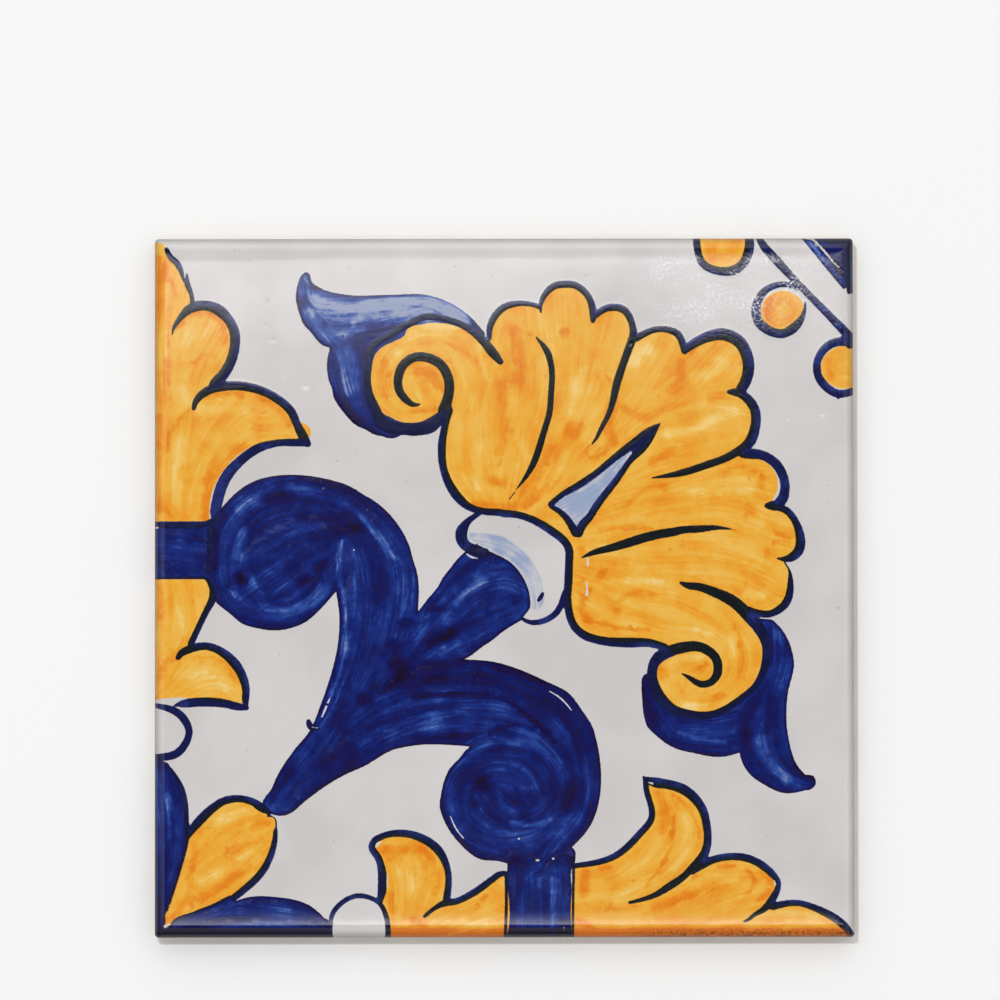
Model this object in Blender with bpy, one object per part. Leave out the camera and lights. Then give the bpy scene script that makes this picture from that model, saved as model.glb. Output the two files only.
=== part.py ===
"""A hand-painted azulejo wall tile: one fired clay slab, glazed on the face and bare on the back.

The slab is square. Its glazed face is flat and rolls over into the four sides in a soft cushioned
edge, whose faces meet in a mitre at each corner. The sides stand upright, and a narrow chamfer
runs round the back, which is the plain face that goes into the adhesive.

The frame has +Z up through the glazed face and its origin in the middle of the back.
"""

import math

import bmesh
import bpy

MM = 0.001

# Driving dimensions
TILE_SIDE = 140.0 * MM
TILE_THICKNESS = 7.0 * MM
PLAN_CORNER_RADIUS = 0.8 * MM
CUSHION_WIDTH = 2.6 * MM
CUSHION_DROP = 1.6 * MM
FACE_CORNER_RADIUS = 0.4 * MM
BACK_CHAMFER = 0.6 * MM

# How finely the round stretches are cut
CUSHION_STEPS = 12
CORNER_STEPS = 6

GLAZE_COLOUR = (0.66, 0.64, 0.62, 1.0)
GLAZE_ROUGHNESS = 0.12


def clear_scene():
    """Removes whatever the scene holds."""
    for obj in list(bpy.data.objects):
        bpy.data.objects.remove(obj)


def rounded_square(side, radius):
    """The points of a square with round corners, anticlockwise, starting at the right side."""
    centre = side / 2 - radius
    points = []
    for corner in range(4):
        start = corner * math.pi / 2
        middle = start + math.pi / 4
        centre_x = math.copysign(centre, math.cos(middle))
        centre_y = math.copysign(centre, math.sin(middle))
        for step in range(CORNER_STEPS + 1):
            angle = start + step / CORNER_STEPS * math.pi / 2
            points.append((centre_x + radius * math.cos(angle), centre_y + radius * math.sin(angle)))
    return points


def cushion_profile():
    """(inset, height) pairs of the rounded edge, from the side up to the flat face.

    The edge is one arc. It leaves the face level, falls by CUSHION_DROP over CUSHION_WIDTH, and
    meets the upright side at a blunt corner.
    """
    sweep = 2 * math.atan(CUSHION_DROP / CUSHION_WIDTH)
    radius = CUSHION_WIDTH / math.sin(sweep)
    profile = []
    for step in range(CUSHION_STEPS + 1):
        angle = sweep * (1 - step / CUSHION_STEPS)
        inset = CUSHION_WIDTH - radius * math.sin(angle)
        height = TILE_THICKNESS - radius * (1 - math.cos(angle))
        profile.append((inset, height))
    return profile


def corner_radius_at(inset):
    """The plan radius of the tile's corners, which tightens towards the mitre on the face."""
    share = min(1.0, inset / CUSHION_WIDTH)
    return PLAN_CORNER_RADIUS + share * (FACE_CORNER_RADIUS - PLAN_CORNER_RADIUS)


def ring_of(mesh, inset, height):
    """One level outline of the slab, as a loop of edges in the mesh."""
    outline = rounded_square(TILE_SIDE - 2 * inset, corner_radius_at(inset))
    verts = [mesh.verts.new((x, y, height)) for x, y in outline]
    following = verts[1:] + verts[:1]
    return verts, [mesh.edges.new(pair) for pair in zip(verts, following)]


def glaze_material():
    """The pale tin glaze that covers the tile's face and sides."""
    material = bpy.data.materials.new("tin_glaze")
    material.use_nodes = True
    shader = material.node_tree.nodes["Principled BSDF"]
    shader.inputs["Base Color"].default_value = GLAZE_COLOUR
    shader.inputs["Roughness"].default_value = GLAZE_ROUGHNESS
    shader.inputs["Metallic"].default_value = 0.0
    return material


def build_tile():
    """The whole tile as one solid, made from level rings that are bridged and closed."""
    mesh = bmesh.new()
    levels = [(BACK_CHAMFER, 0.0), (0.0, BACK_CHAMFER)] + cushion_profile()
    rings = [ring_of(mesh, inset, height) for inset, height in levels]
    for (_, lower), (_, upper) in zip(rings, rings[1:]):
        bmesh.ops.bridge_loops(mesh, edges=lower + upper)
    mesh.faces.new(rings[0][0][::-1])
    mesh.faces.new(rings[-1][0])
    bmesh.ops.recalc_face_normals(mesh, faces=mesh.faces)

    data = bpy.data.meshes.new("tile")
    mesh.to_mesh(data)
    mesh.free()
    data.materials.append(glaze_material())
    data.shade_smooth()
    data.set_sharp_from_angle(angle=math.radians(30))
    tile = bpy.data.objects.new("tile", data)
    bpy.context.scene.collection.objects.link(tile)
    return tile


clear_scene()
build_tile()
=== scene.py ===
"""A hand-painted azulejo tile, dressed and lit: glaze, brushwork, bare clay back, floor and camera.

The tile is one piece. Its painted face is a mesh whose points crowd along every paint edge, and
each point carries its distance to the edge of each pigment and the way that the brush went. The
glaze material turns those into crisp strokes with streaks and blots. It also paints shade along
the rolled edge, deepest at the bottom, and pale glints of painted highlight in the upper right.
"""
import functools
import logging
import math
from dataclasses import dataclass, field
from enum import Enum
from typing import Iterable, Sequence

import bmesh
import bpy
import numpy as np
from mathutils import Matrix, Vector
from mathutils.geometry import delaunay_2d_cdt


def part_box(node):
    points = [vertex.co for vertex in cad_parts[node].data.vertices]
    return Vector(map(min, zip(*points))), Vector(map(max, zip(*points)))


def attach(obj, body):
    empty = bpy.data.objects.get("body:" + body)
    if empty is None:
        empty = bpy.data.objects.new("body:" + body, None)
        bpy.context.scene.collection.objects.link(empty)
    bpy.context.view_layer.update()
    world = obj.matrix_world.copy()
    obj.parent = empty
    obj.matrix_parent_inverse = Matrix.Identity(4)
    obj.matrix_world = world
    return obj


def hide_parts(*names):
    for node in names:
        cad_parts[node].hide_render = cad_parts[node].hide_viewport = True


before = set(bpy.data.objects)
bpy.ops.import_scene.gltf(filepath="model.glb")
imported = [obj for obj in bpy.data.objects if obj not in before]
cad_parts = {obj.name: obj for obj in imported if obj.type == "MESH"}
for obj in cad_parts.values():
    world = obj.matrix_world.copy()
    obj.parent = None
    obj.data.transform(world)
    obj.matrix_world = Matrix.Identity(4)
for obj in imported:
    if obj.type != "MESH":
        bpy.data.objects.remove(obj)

MM = 0.001
SEED = 14
PIECE = "azulejo_tile"

log = logging.getLogger("azulejo")

Point = tuple[float, float]
BrushPoint = tuple[float, float, float]
Run = Sequence[Point]
Socket = bpy.types.NodeSocket
Term = Socket | float


# Paths


def smooth_path(points: Sequence[Sequence[float]], step: float) -> np.ndarray:
    """Runs a smooth curve through given points.

    Args:
        points: the points, each with two or more numbers.
        step: the distance between the points of the result, in mm.

    Returns:
        The curve's points, one row each.
    """
    p = np.array(points, dtype=float)
    if len(p) < 3:
        count = max(1, int(np.ceil(np.linalg.norm(p[-1, :2] - p[0, :2]) / step)))
        share = np.linspace(0, 1, count + 1)[:, None]
        return p[0] * (1 - share) + p[-1] * share
    gaps = np.maximum(np.linalg.norm(np.diff(p[:, :2], axis=0), axis=1), 1e-6)[:, None]
    slopes = np.diff(p, axis=0) / gaps
    tangents = np.empty_like(p)
    tangents[1:-1] = (slopes[:-1] * gaps[1:] + slopes[1:] * gaps[:-1]) / (gaps[1:] + gaps[:-1])
    tangents[0] = 1.5 * slopes[0] - 0.5 * tangents[1]
    tangents[-1] = 1.5 * slopes[-1] - 0.5 * tangents[-2]
    pieces = []
    for i, gap in enumerate(gaps[:, 0]):
        count = max(1, int(np.ceil(gap / step)))
        t = (np.arange(count) / count)[:, None]
        pieces.append(
            (2 * t**3 - 3 * t**2 + 1) * p[i]
            + (t**3 - 2 * t**2 + t) * gap * tangents[i]
            + (3 * t**2 - 2 * t**3) * p[i + 1]
            + (t**3 - t**2) * gap * tangents[i + 1]
        )
    return np.vstack(pieces + [p[-1:]])


def arc(centre: Point, radii: Point, start: float, end: float, count: int = 8) -> tuple[Point, ...]:
    """Points along an arc of an ellipse, from one angle in degrees to another."""
    angles = np.radians(np.linspace(start, end, count))
    return tuple((centre[0] + radii[0] * math.cos(a), centre[1] + radii[1] * math.sin(a)) for a in angles)


def middle(*strokes: Sequence[BrushPoint]) -> tuple[Point, ...]:
    """The points along the middle of one or more strokes, one after the other."""
    return tuple((x, y) for stroke in strokes for x, y, _ in stroke)


def back(points: Sequence) -> tuple:
    """The same points in the other direction."""
    return tuple(reversed(points))


class Pigment(Enum):
    """The layers of paint, each stored on the mesh under its name."""

    WASH = "wash"
    BLUE = "blue"
    YELLOW = "yellow"
    LINE = "line"
    BARE = "bare"


@dataclass(frozen=True)
class Fill:
    """A painted area, bounded by runs of points with a corner where two runs meet."""

    pigment: Pigment
    runs: tuple[Run, ...]
    hole: bool = False


@dataclass(frozen=True)
class Accent:
    """A soft stroke that leans the colour below it: over 0 is deeper, under 0 is paler. A paler one is
    thinner paint, except where a comment names it painted highlight or reflection.
    """

    strength: float
    half_width: float
    points: tuple[Point, ...]

    def stroke(self) -> tuple[BrushPoint, ...]:
        """The accent's points with its half width."""
        return tuple((x, y, self.half_width) for x, y in self.points)


@dataclass(frozen=True)
class Guide:
    """A path that the brush followed. Neighbouring guides take turns on two hands, 0 and 1."""

    hand: int
    points: tuple[Point, ...]


def accent_rows(*rows: Sequence[float]) -> tuple[Accent, ...]:
    """Accents from rows that hold strength, half width, then x and y of each point."""
    return tuple(Accent(row[0], row[1], tuple(zip(row[2::2], row[3::2]))) for row in rows)


def guide_rows(*rows: Sequence[float]) -> tuple[Guide, ...]:
    """Guides from rows that hold the hand, then x and y of each point."""
    return tuple(Guide(int(row[0]), tuple(zip(row[1::2], row[2::2]))) for row in rows)


def area(pigment: Pigment, *runs: Run, hole: bool = False) -> Fill:
    """A painted area from its runs."""
    return Fill(pigment, runs, hole)


@dataclass(frozen=True)
class Motif:
    """One figure of the pattern, in mm from the middle of the face, +Y up."""

    lines: tuple[tuple[BrushPoint, ...], ...] = ()
    fills: tuple[Fill, ...] = ()
    guides: tuple[Guide, ...] = ()
    accents: tuple[Accent, ...] = ()
    bare: tuple[tuple[BrushPoint, ...], ...] = ()


def left_leaf() -> Motif:
    """The tall orange leaf at the left edge, above the bar.

    Returns:
        The figure.
    """
    tip = ((-67.6, 67.8, .5), (-66.9, 66.4, .6), (-65.4, 64.9, .65), (-64.2, 61.6, .25))
    point = ((-63.5, 63, .15), (-63.45, 61, .6), (-62.7, 59, .48), (-62.4, 57.2, .5))
    upper = (
        (-66.5, 50.7, .1), (-66.2, 52, .35), (-65.3, 53.5, .55), (-62.6, 56.1, 1), (-59, 56.45, 1.05),
        (-57.4, 55.8, 1.15), (-54.9, 53.3, 1), (-54.1, 51.6, 1.05), (-54.05, 47.8, 1.05),
        (-56.5, 42.4, 1.1), (-57.6, 41.3, 1.1), (-58.3, 40.8, .8),
    )
    lower = (
        (-62.15, 35.9, .45), (-61.9, 37, .6), (-59.7, 39.3, .9), (-56, 40.35, .95), (-46, 38.2, .9),
        (-42.4, 34.9, .9), (-41.6, 33, .85), (-40, 29.9, .95), (-39.3, 28.8, .7),
    )
    under = (
        (-39.6, 28.9, .7), (-41.5, 29.05, .8), (-45.5, 28.95, .75), (-49.3, 27.9, .95), (-52.6, 25.6, 1),
        (-55.4, 22.6, 1.15), (-57.5, 17, 1.15), (-57.8, 15, 1.1), (-57.6, 13.8, 1),
    )
    rim = ((-39.2, 29.6), (-46, 29.3), (-50.5, 28.2), (-58.6, 18.6), (-59, 13.3))
    top = ((-70.4, 68.9), (-69.4, 69.3), (-68.2, 68.8), (-67.6, 67.8))
    return Motif(
        lines=(tip, point, upper, lower, under),
        fills=(
            area(
                Pigment.YELLOW, middle(tip), middle(point[1:]), middle(upper[3:]), middle(lower[2:-1]), rim,
                ((-59, 13.3), (-70.4, 13.3)), top,
            ),
            area(
                Pigment.YELLOW, ((-40.4, 33.2), (-39, 32.2), (-38.7, 30.6), (-39.6, 29.6)),
                ((-41, 30), (-41, 33)),
            ),
        ),
        guides=guide_rows(
            (0, -69, 14, -67.5, 30, -68.5, 45, -67.5, 60, -66, 66),
            (1, -66, 15, -65, 28, -63.5, 40, -57, 53.5),
            (0, -63, 15, -61.5, 24, -50, 36.5, -44, 35.5, -40, 31.5),
            (1, -60.5, 14, -59, 22, -54.5, 28, -48, 31, -41, 31),
        ),
        accents=accent_rows(
            (.9, .8, -69.3, 66, -69, 60, -69.4, 54), (.7, .8, -67.8, 64.5, -66.5, 61, -65.2, 58),
            (.8, .7, -67.6, 56, -67.3, 48, -67.2, 41),
            (.9, .8, -66, 52, -62.5, 54.8, -58.5, 54.6, -56.2, 51.5, -56.2, 49),
            (.7, .9, -63.5, 44.5, -60, 46.5, -57.2, 46.2, -58.7, 43.5),
            (.7, .9, -67.7, 45, -68, 40, -68.7, 34),
            (1.1, .6, -62.8, 35.6, -65, 33.3, -66.8, 31, -67.3, 27.5),
            (.9, .8, -60.5, 38.3, -56, 38.8, -50, 38.5, -45, 35.5, -43, 33),
            (.9, 1.2, -49.7, 32, -46.6, 32),
            (1, 1.1, -52, 28.5, -56, 26.5, -58.5, 23.5, -59.5, 19, -60, 14), (.7, .7, -69.3, 34, -69.2, 16),
            (.8, 1.1, -69, 16, -66, 15), (-.8, 1.5, -64.2, 46, -63, 50.5, -59.5, 51.5),
            (-.6, .8, -65, 62, -64.2, 58.5), (-.9, 1.3, -65, 30, -65.5, 24, -65.5, 16),
            (-.8, 1.2, -64.5, 40, -62.5, 36.5, -56, 35.8, -52, 36),
        ),
    )


def lower_left_leaf() -> Motif:
    """The small orange leaf under the bar, and the white half circle below it.

    Returns:
        The figure.
    """
    stem = ((-59.6, 1.7, .3), (-58.3, -.5, .75), (-58.5, -2.4, .8), (-59.6, -4.6, .7), (-62.7, -11.2, .7))
    lobe = (
        (-65.3, -14, .55), (-64.5, -13, .75), (-63.2, -12.4, .85), (-61.7, -11.9, .85), (-60, -11.7, .8),
        (-53.7, -15.5, 1), (-51.7, -20.8, .8), (-51.8, -22.4, .75), (-51.7, -23.7, .5),
    )
    foot = (
        (-66, -23.5, .15), (-64.8, -23.3, .65), (-61, -22.9, .95), (-56.5, -23.1, .9), (-52.8, -23.9, .75),
        (-51.6, -24.05, .55),
    )
    half_circle = (
        (-69.8, -23.55, .5), (-64.5, -25.8, .85), (-63.1, -28.6, .75), (-65.2, -32.9, .85),
        (-70.2, -34, .75),
    )
    bottom = ((-51.6, -23.2), (-58, -22.6), (-65.5, -22), (-70.4, -22.5))
    return Motif(
        lines=(stem, lobe, foot, half_circle),
        fills=(
            area(
                Pigment.YELLOW, middle(stem), middle(lobe[3:]), bottom, ((-70.4, -22.5), (-70.4, 1.7)),
                ((-70.4, 1.7), (-59.6, 1.7)),
            ),
        ),
        guides=guide_rows(
            (0, -69.5, 1.5, -69, -8, -69.5, -20), (1, -66, 1.5, -65, -6, -66.5, -13, -68, -19),
            (0, -68, -22, -64, -18, -59.5, -14.5, -55, -16.5, -53, -21),
            (1, -66, -22.5, -56, -20, -53, -23),
        ),
        accents=accent_rows(
            (.8, 1, -65, -12.5, -67.5, -15, -69, -18), (.7, 1, -69, 0, -68.6, -6),
            (.8, .7, -62, -14, -57, -14.5, -53.5, -19), (-.7, 1.1, -63, -17.5, -58.5, -17.5, -56, -20),
            (-.7, .9, -65.5, -3, -64, -9),
        ),
    )


def edge_leaves() -> Motif:
    """The two blue leaves in the bottom left corner, with the orange drop between them.

    Returns:
        The figure.
    """
    top = (
        (-63.5, -50, .6), (-62.9, -48.9, .8), (-61.5, -47.2, .95), (-58.2, -44, .9), (-56.6, -42.9, .85),
        (-50.1, -43, .8), (-48.8, -43.9, .9), (-47.1, -45, .45),
    )
    closing = ((-47.4, -45.8, .15), (-46.1, -46, .15), (-45.7, -48, .2))
    right = ((-45.8, -48.6, .45), (-46, -50.8, .6), (-47.6, -55.4, .75), (-54, -61.9, .75))
    lower = (
        (-55, -61.8, .3), (-57.3, -63, .28), (-62.5, -65.1, .25), (-66.1, -66.6, .25), (-66.8, -67.4, .2),
    )
    side = (
        (-63.4, -50.6, .3), (-63.5, -51.4, .25), (-64.8, -56.3, .22), (-67.2, -63.8, .22),
        (-67.9, -65.8, .22), (-68.05, -67.7, .2),
    )
    upright = ((-67.4, -35), (-64.1, -40.6), (-63.4, -45.1), (-63.4, -50.6))
    lying = (
        (-53.8, -62.6), (-50.7, -61.8), (-46.5, -61.8), (-38.3, -64), (-37, -65.1), (-36, -66.1),
        (-35.3, -66.4),
    )
    return Motif(
        lines=(
            top, closing, right, lower, side, ((-66.8, -36.2, .3), (-64.7, -39.6, .45), (-63.6, -48, .5)),
        ),
        fills=(
            area(
                Pigment.BLUE, upright, middle(side[1:]),
                ((-68.1, -67.7), (-68.3, -70.4), (-70.4, -70.4), (-70.4, -34), (-67.4, -35)),
            ),
            area(
                Pigment.BLUE, lying,
                ((-35.3, -66.4), (-34.4, -70.4), (-70.4, -70.4), (-68, -68.1), (-66.8, -67.4)),
                back(middle(lower[:-1])),
            ),
            area(
                Pigment.YELLOW, middle(top), middle(closing), middle(right), middle(lower),
                ((-66.8, -67.4), (-67.8, -67.3)), back(middle(side)),
            ),
        ),
        guides=guide_rows(
            (0, -68.7, -35, -68, -50, -69.2, -68), (1, -67.5, -36.5, -65.3, -44, -67.5, -62),
            (0, -67.8, -67, -60.5, -60.5, -53, -56, -47.5, -51), (1, -67.4, -66, -62.5, -57.5, -47.5, -47),
            (0, -65.5, -61, -57, -47, -50, -44.3), (1, -66.5, -67, -58, -62.7, -50.5, -58.5),
            (1, -67, -69, -54, -65.5, -44, -66.2, -35.5, -69),
        ),
        accents=accent_rows(
            (-1.1, .6, -67.3, -41.5, -67.2, -50), (-.5, .9, -68.8, -40, -68.9, -52),
            (1, .9, -69.5, -63, -69.3, -68.5), (.6, .8, -66.3, -50, -67.3, -60),
            (1.2, .8, -69.3, -35.5, -68.3, -35.8), (1.1, 1.1, -50, -48, -47.3, -46.6),
            (.9, .8, -56, -53.5, -51.5, -51.5, -47.8, -50.5), (.9, .8, -62, -51.5, -62.6, -57, -63.3, -61),
            (.7, .9, -61, -48.8, -57.5, -48), (1.2, .8, -64.5, -63, -60, -61.8, -55, -58.5, -51, -56),
            (1, .9, -67, -66.8, -65, -64.5), (-1.2, .5, -53.3, -54.3, -50.8, -52.6),
            (-.9, 1.2, -60.5, -58.6, -56.5, -56.5), (-.7, 1.1, -57, -46.2, -52, -44.8),
            (-.6, .9, -58, -65.3, -50, -63.8, -43, -64.4),
        ),
        bare=(((-68, -67.7, .28), (-66.9, -67.8, .22)),),
    )


def bottom_leaf() -> Motif:
    """The white half circle on the bottom edge and the small orange leaf between it and the bar.

    Returns:
        The figure.
    """
    half_circle = (
        (-34.8, -70.2, .5), (-34.8, -67.5, .45), (-34.6, -65.8, .5), (-29.3, -61.65, .55),
        (-24.9, -63.3, .5), (-23.6, -66.1, .55), (-23.4, -70.2, .6),
    )
    lobe = (
        (-24.9, -62.6, .6), (-24.6, -61.2, .85), (-25.2, -54.2, .75), (-26.5, -51.8, .75),
        (-26, -50.7, .75), (-24.7, -49.9, .7), (-19.4, -49.3, .8), (-13, -52.9, .9), (-11.4, -56.5, .7),
        (-11.6, -62.2, .8),
    )
    cross = (
        (-16, -65.8, .4), (-13.4, -63.8, .55), (-11.8, -63.1, .75), (-9.8, -62.8, .7), (-5.9, -60.9, .75),
        (-2.3, -58.3, .7), (-1, -57.4, .65), (.2, -57.2, .5),
    )
    return Motif(
        lines=(half_circle, lobe, cross, ((.3, -57.5, .35), (.35, -62, .35), (.1, -70.2, .35))),
        fills=(
            area(
                Pigment.YELLOW, middle(half_circle[4:]), ((-23.4, -70.2), (0, -70.4), (.2, -57.2)),
                back(middle(cross[3:])), back(middle(lobe)),
            ),
        ),
        guides=guide_rows(
            (0, -22, -69, -21.7, -60, -22, -54, -18, -51.5),
            (1, -19, -69, -16, -62, -14.8, -56, -16, -52.5), (0, -18, -69.5, -11, -66.2, .5, -60),
            (1, -16, -70.5, -7, -68, .5, -65.5),
        ),
        accents=accent_rows(
            (1.2, 1, -24, -52.3, -21, -52.5, -17.5, -51.6, -14.8, -53.6), (1, .8, -23.3, -54.5, -20.8, -54),
            (.8, .6, -14.3, -54.5, -13.3, -57.5, -13.8, -61.5), (1.1, .9, -23, -61.5, -22.3, -64.5),
            (1.3, .7, -22.6, -69, -20, -68.6), (.9, .7, -18.8, -66.3, -16, -67.5),
            (.9, .6, -1.2, -59.5, -5, -63, -6.5, -66.3), (-.9, 1.2, -20.5, -56.5, -19.2, -61.5),
            (-1.3, .4, -18.7, -58, -18.4, -60), (-.7, 1.3, -12, -66.8, -4, -66.8),
        ),
        bare=(
            ((-25.7, -51.9, .2), (-25.3, -51.2, .28), (-24.7, -50.9, .15)),
            ((-23.45, -57.3, .1), (-23.5, -60, .12)),
        ),
    )


def right_leaf() -> Motif:
    """The large orange leaf along the bottom edge, right of the bar.

    Returns:
        The figure.
    """
    stalk = (
        (14.1, -55.7, .55), (22.3, -53.65, .7), (27, -49.4, .75), (29.3, -46.5, .7), (28.3, -39.9, .6),
        (28.2, -38.6, .6), (27.75, -37.9, .2),
    )
    first = (
        (28.4, -38.5, .6), (30.3, -39.1, 1.05), (32.3, -39.4, 1), (36, -40.6, 1.05), (39.8, -45, .9),
        (40.3, -47, .85), (40.1, -53, .9), (39.3, -54.4, 1), (38, -55.6, .8), (36, -57.7, .75),
        (32.7, -60, .8), (30.8, -61.2, .65), (25, -63.1, .35),
    )
    second = (
        (37.5, -57, .6), (39.4, -55.6, .9), (41.3, -54.7, .8), (49, -54.4, .8), (53.6, -57.5, .75),
        (54.6, -58.8, .6), (53.2, -62.9, .8), (51.6, -64.6, .65), (50, -65.5, .45), (48.6, -66.6, .35),
        (47.9, -66.9, .25),
    )
    third = ((53.6, -63.9, .8), (59.6, -63.35, .65), (61.5, -64, .7), (68.2, -68.1, .8), (69.3, -69.5, .7))
    return Motif(
        lines=(stalk, first, second, third, ((13.8, -56, .35), (13.7, -62, .3), (13.6, -70.2, .35))),
        fills=(
            area(
                Pigment.YELLOW, middle(stalk), middle(first[:8]), middle(second[1:7]), middle(third),
                ((69.3, -69.5), (69.8, -70.4), (13.7, -70.4), (13.9, -56)),
            ),
        ),
        guides=guide_rows(
            (0, 14, -58, 22, -56.5, 31, -46, 30, -40.5),
            (1, 14, -62, 25, -60.5, 34, -55, 37.5, -48, 35, -42),
            (0, 15, -66, 27, -65.5, 37, -61, 44, -57.5, 51, -58), (1, 17, -69, 33, -67, 44, -63, 53, -60),
            (0, 25, -70.5, 40, -69, 53, -66.5, 61, -66, 68, -69.5),
        ),
        accents=accent_rows(
            (1.1, 1, 16.2, -57, 15.8, -61.5), (1.2, .5, 18.8, -56.3, 21, -56),
            (.9, .8, 15, -66.5, 17.5, -68.5), (1.1, .9, 30.8, -41.5, 32, -45, 31.6, -48.5),
            (1.1, .25, 33.5, -41.3, 36.5, -44, 38.4, -47.5, 38.9, -50),
            (1.1, .25, 33.9, -46, 33.5, -50.5, 31.5, -55.5, 28.3, -59.5),
            (.9, .6, 37.5, -58.3, 41.5, -56.6, 46, -55.6), (1.1, .3, 48.3, -56.5, 50, -58.5, 48.6, -61.3),
            (1, .7, 51.3, -56.7, 53.3, -58.9, 51, -62.5), (.8, 1, 45, -60, 37, -61.5, 30, -64.5),
            (.7, .9, 17, -64, 26, -63.8), (-.8, 1.3, 36, -45.5, 36.6, -50.5, 34, -56),
            (-.7, 1.2, 23, -57, 29, -54.5), (-.7, 1, 42, -58, 47, -58.2), (-.7, .9, 55, -65.3, 62, -65.5),
        ),
        bare=(((28.9, -39.1, .12), (29.6, -39.3, .2)), ((53.9, -58.8, .12), (54.1, -59.5, .2))),
    )


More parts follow.
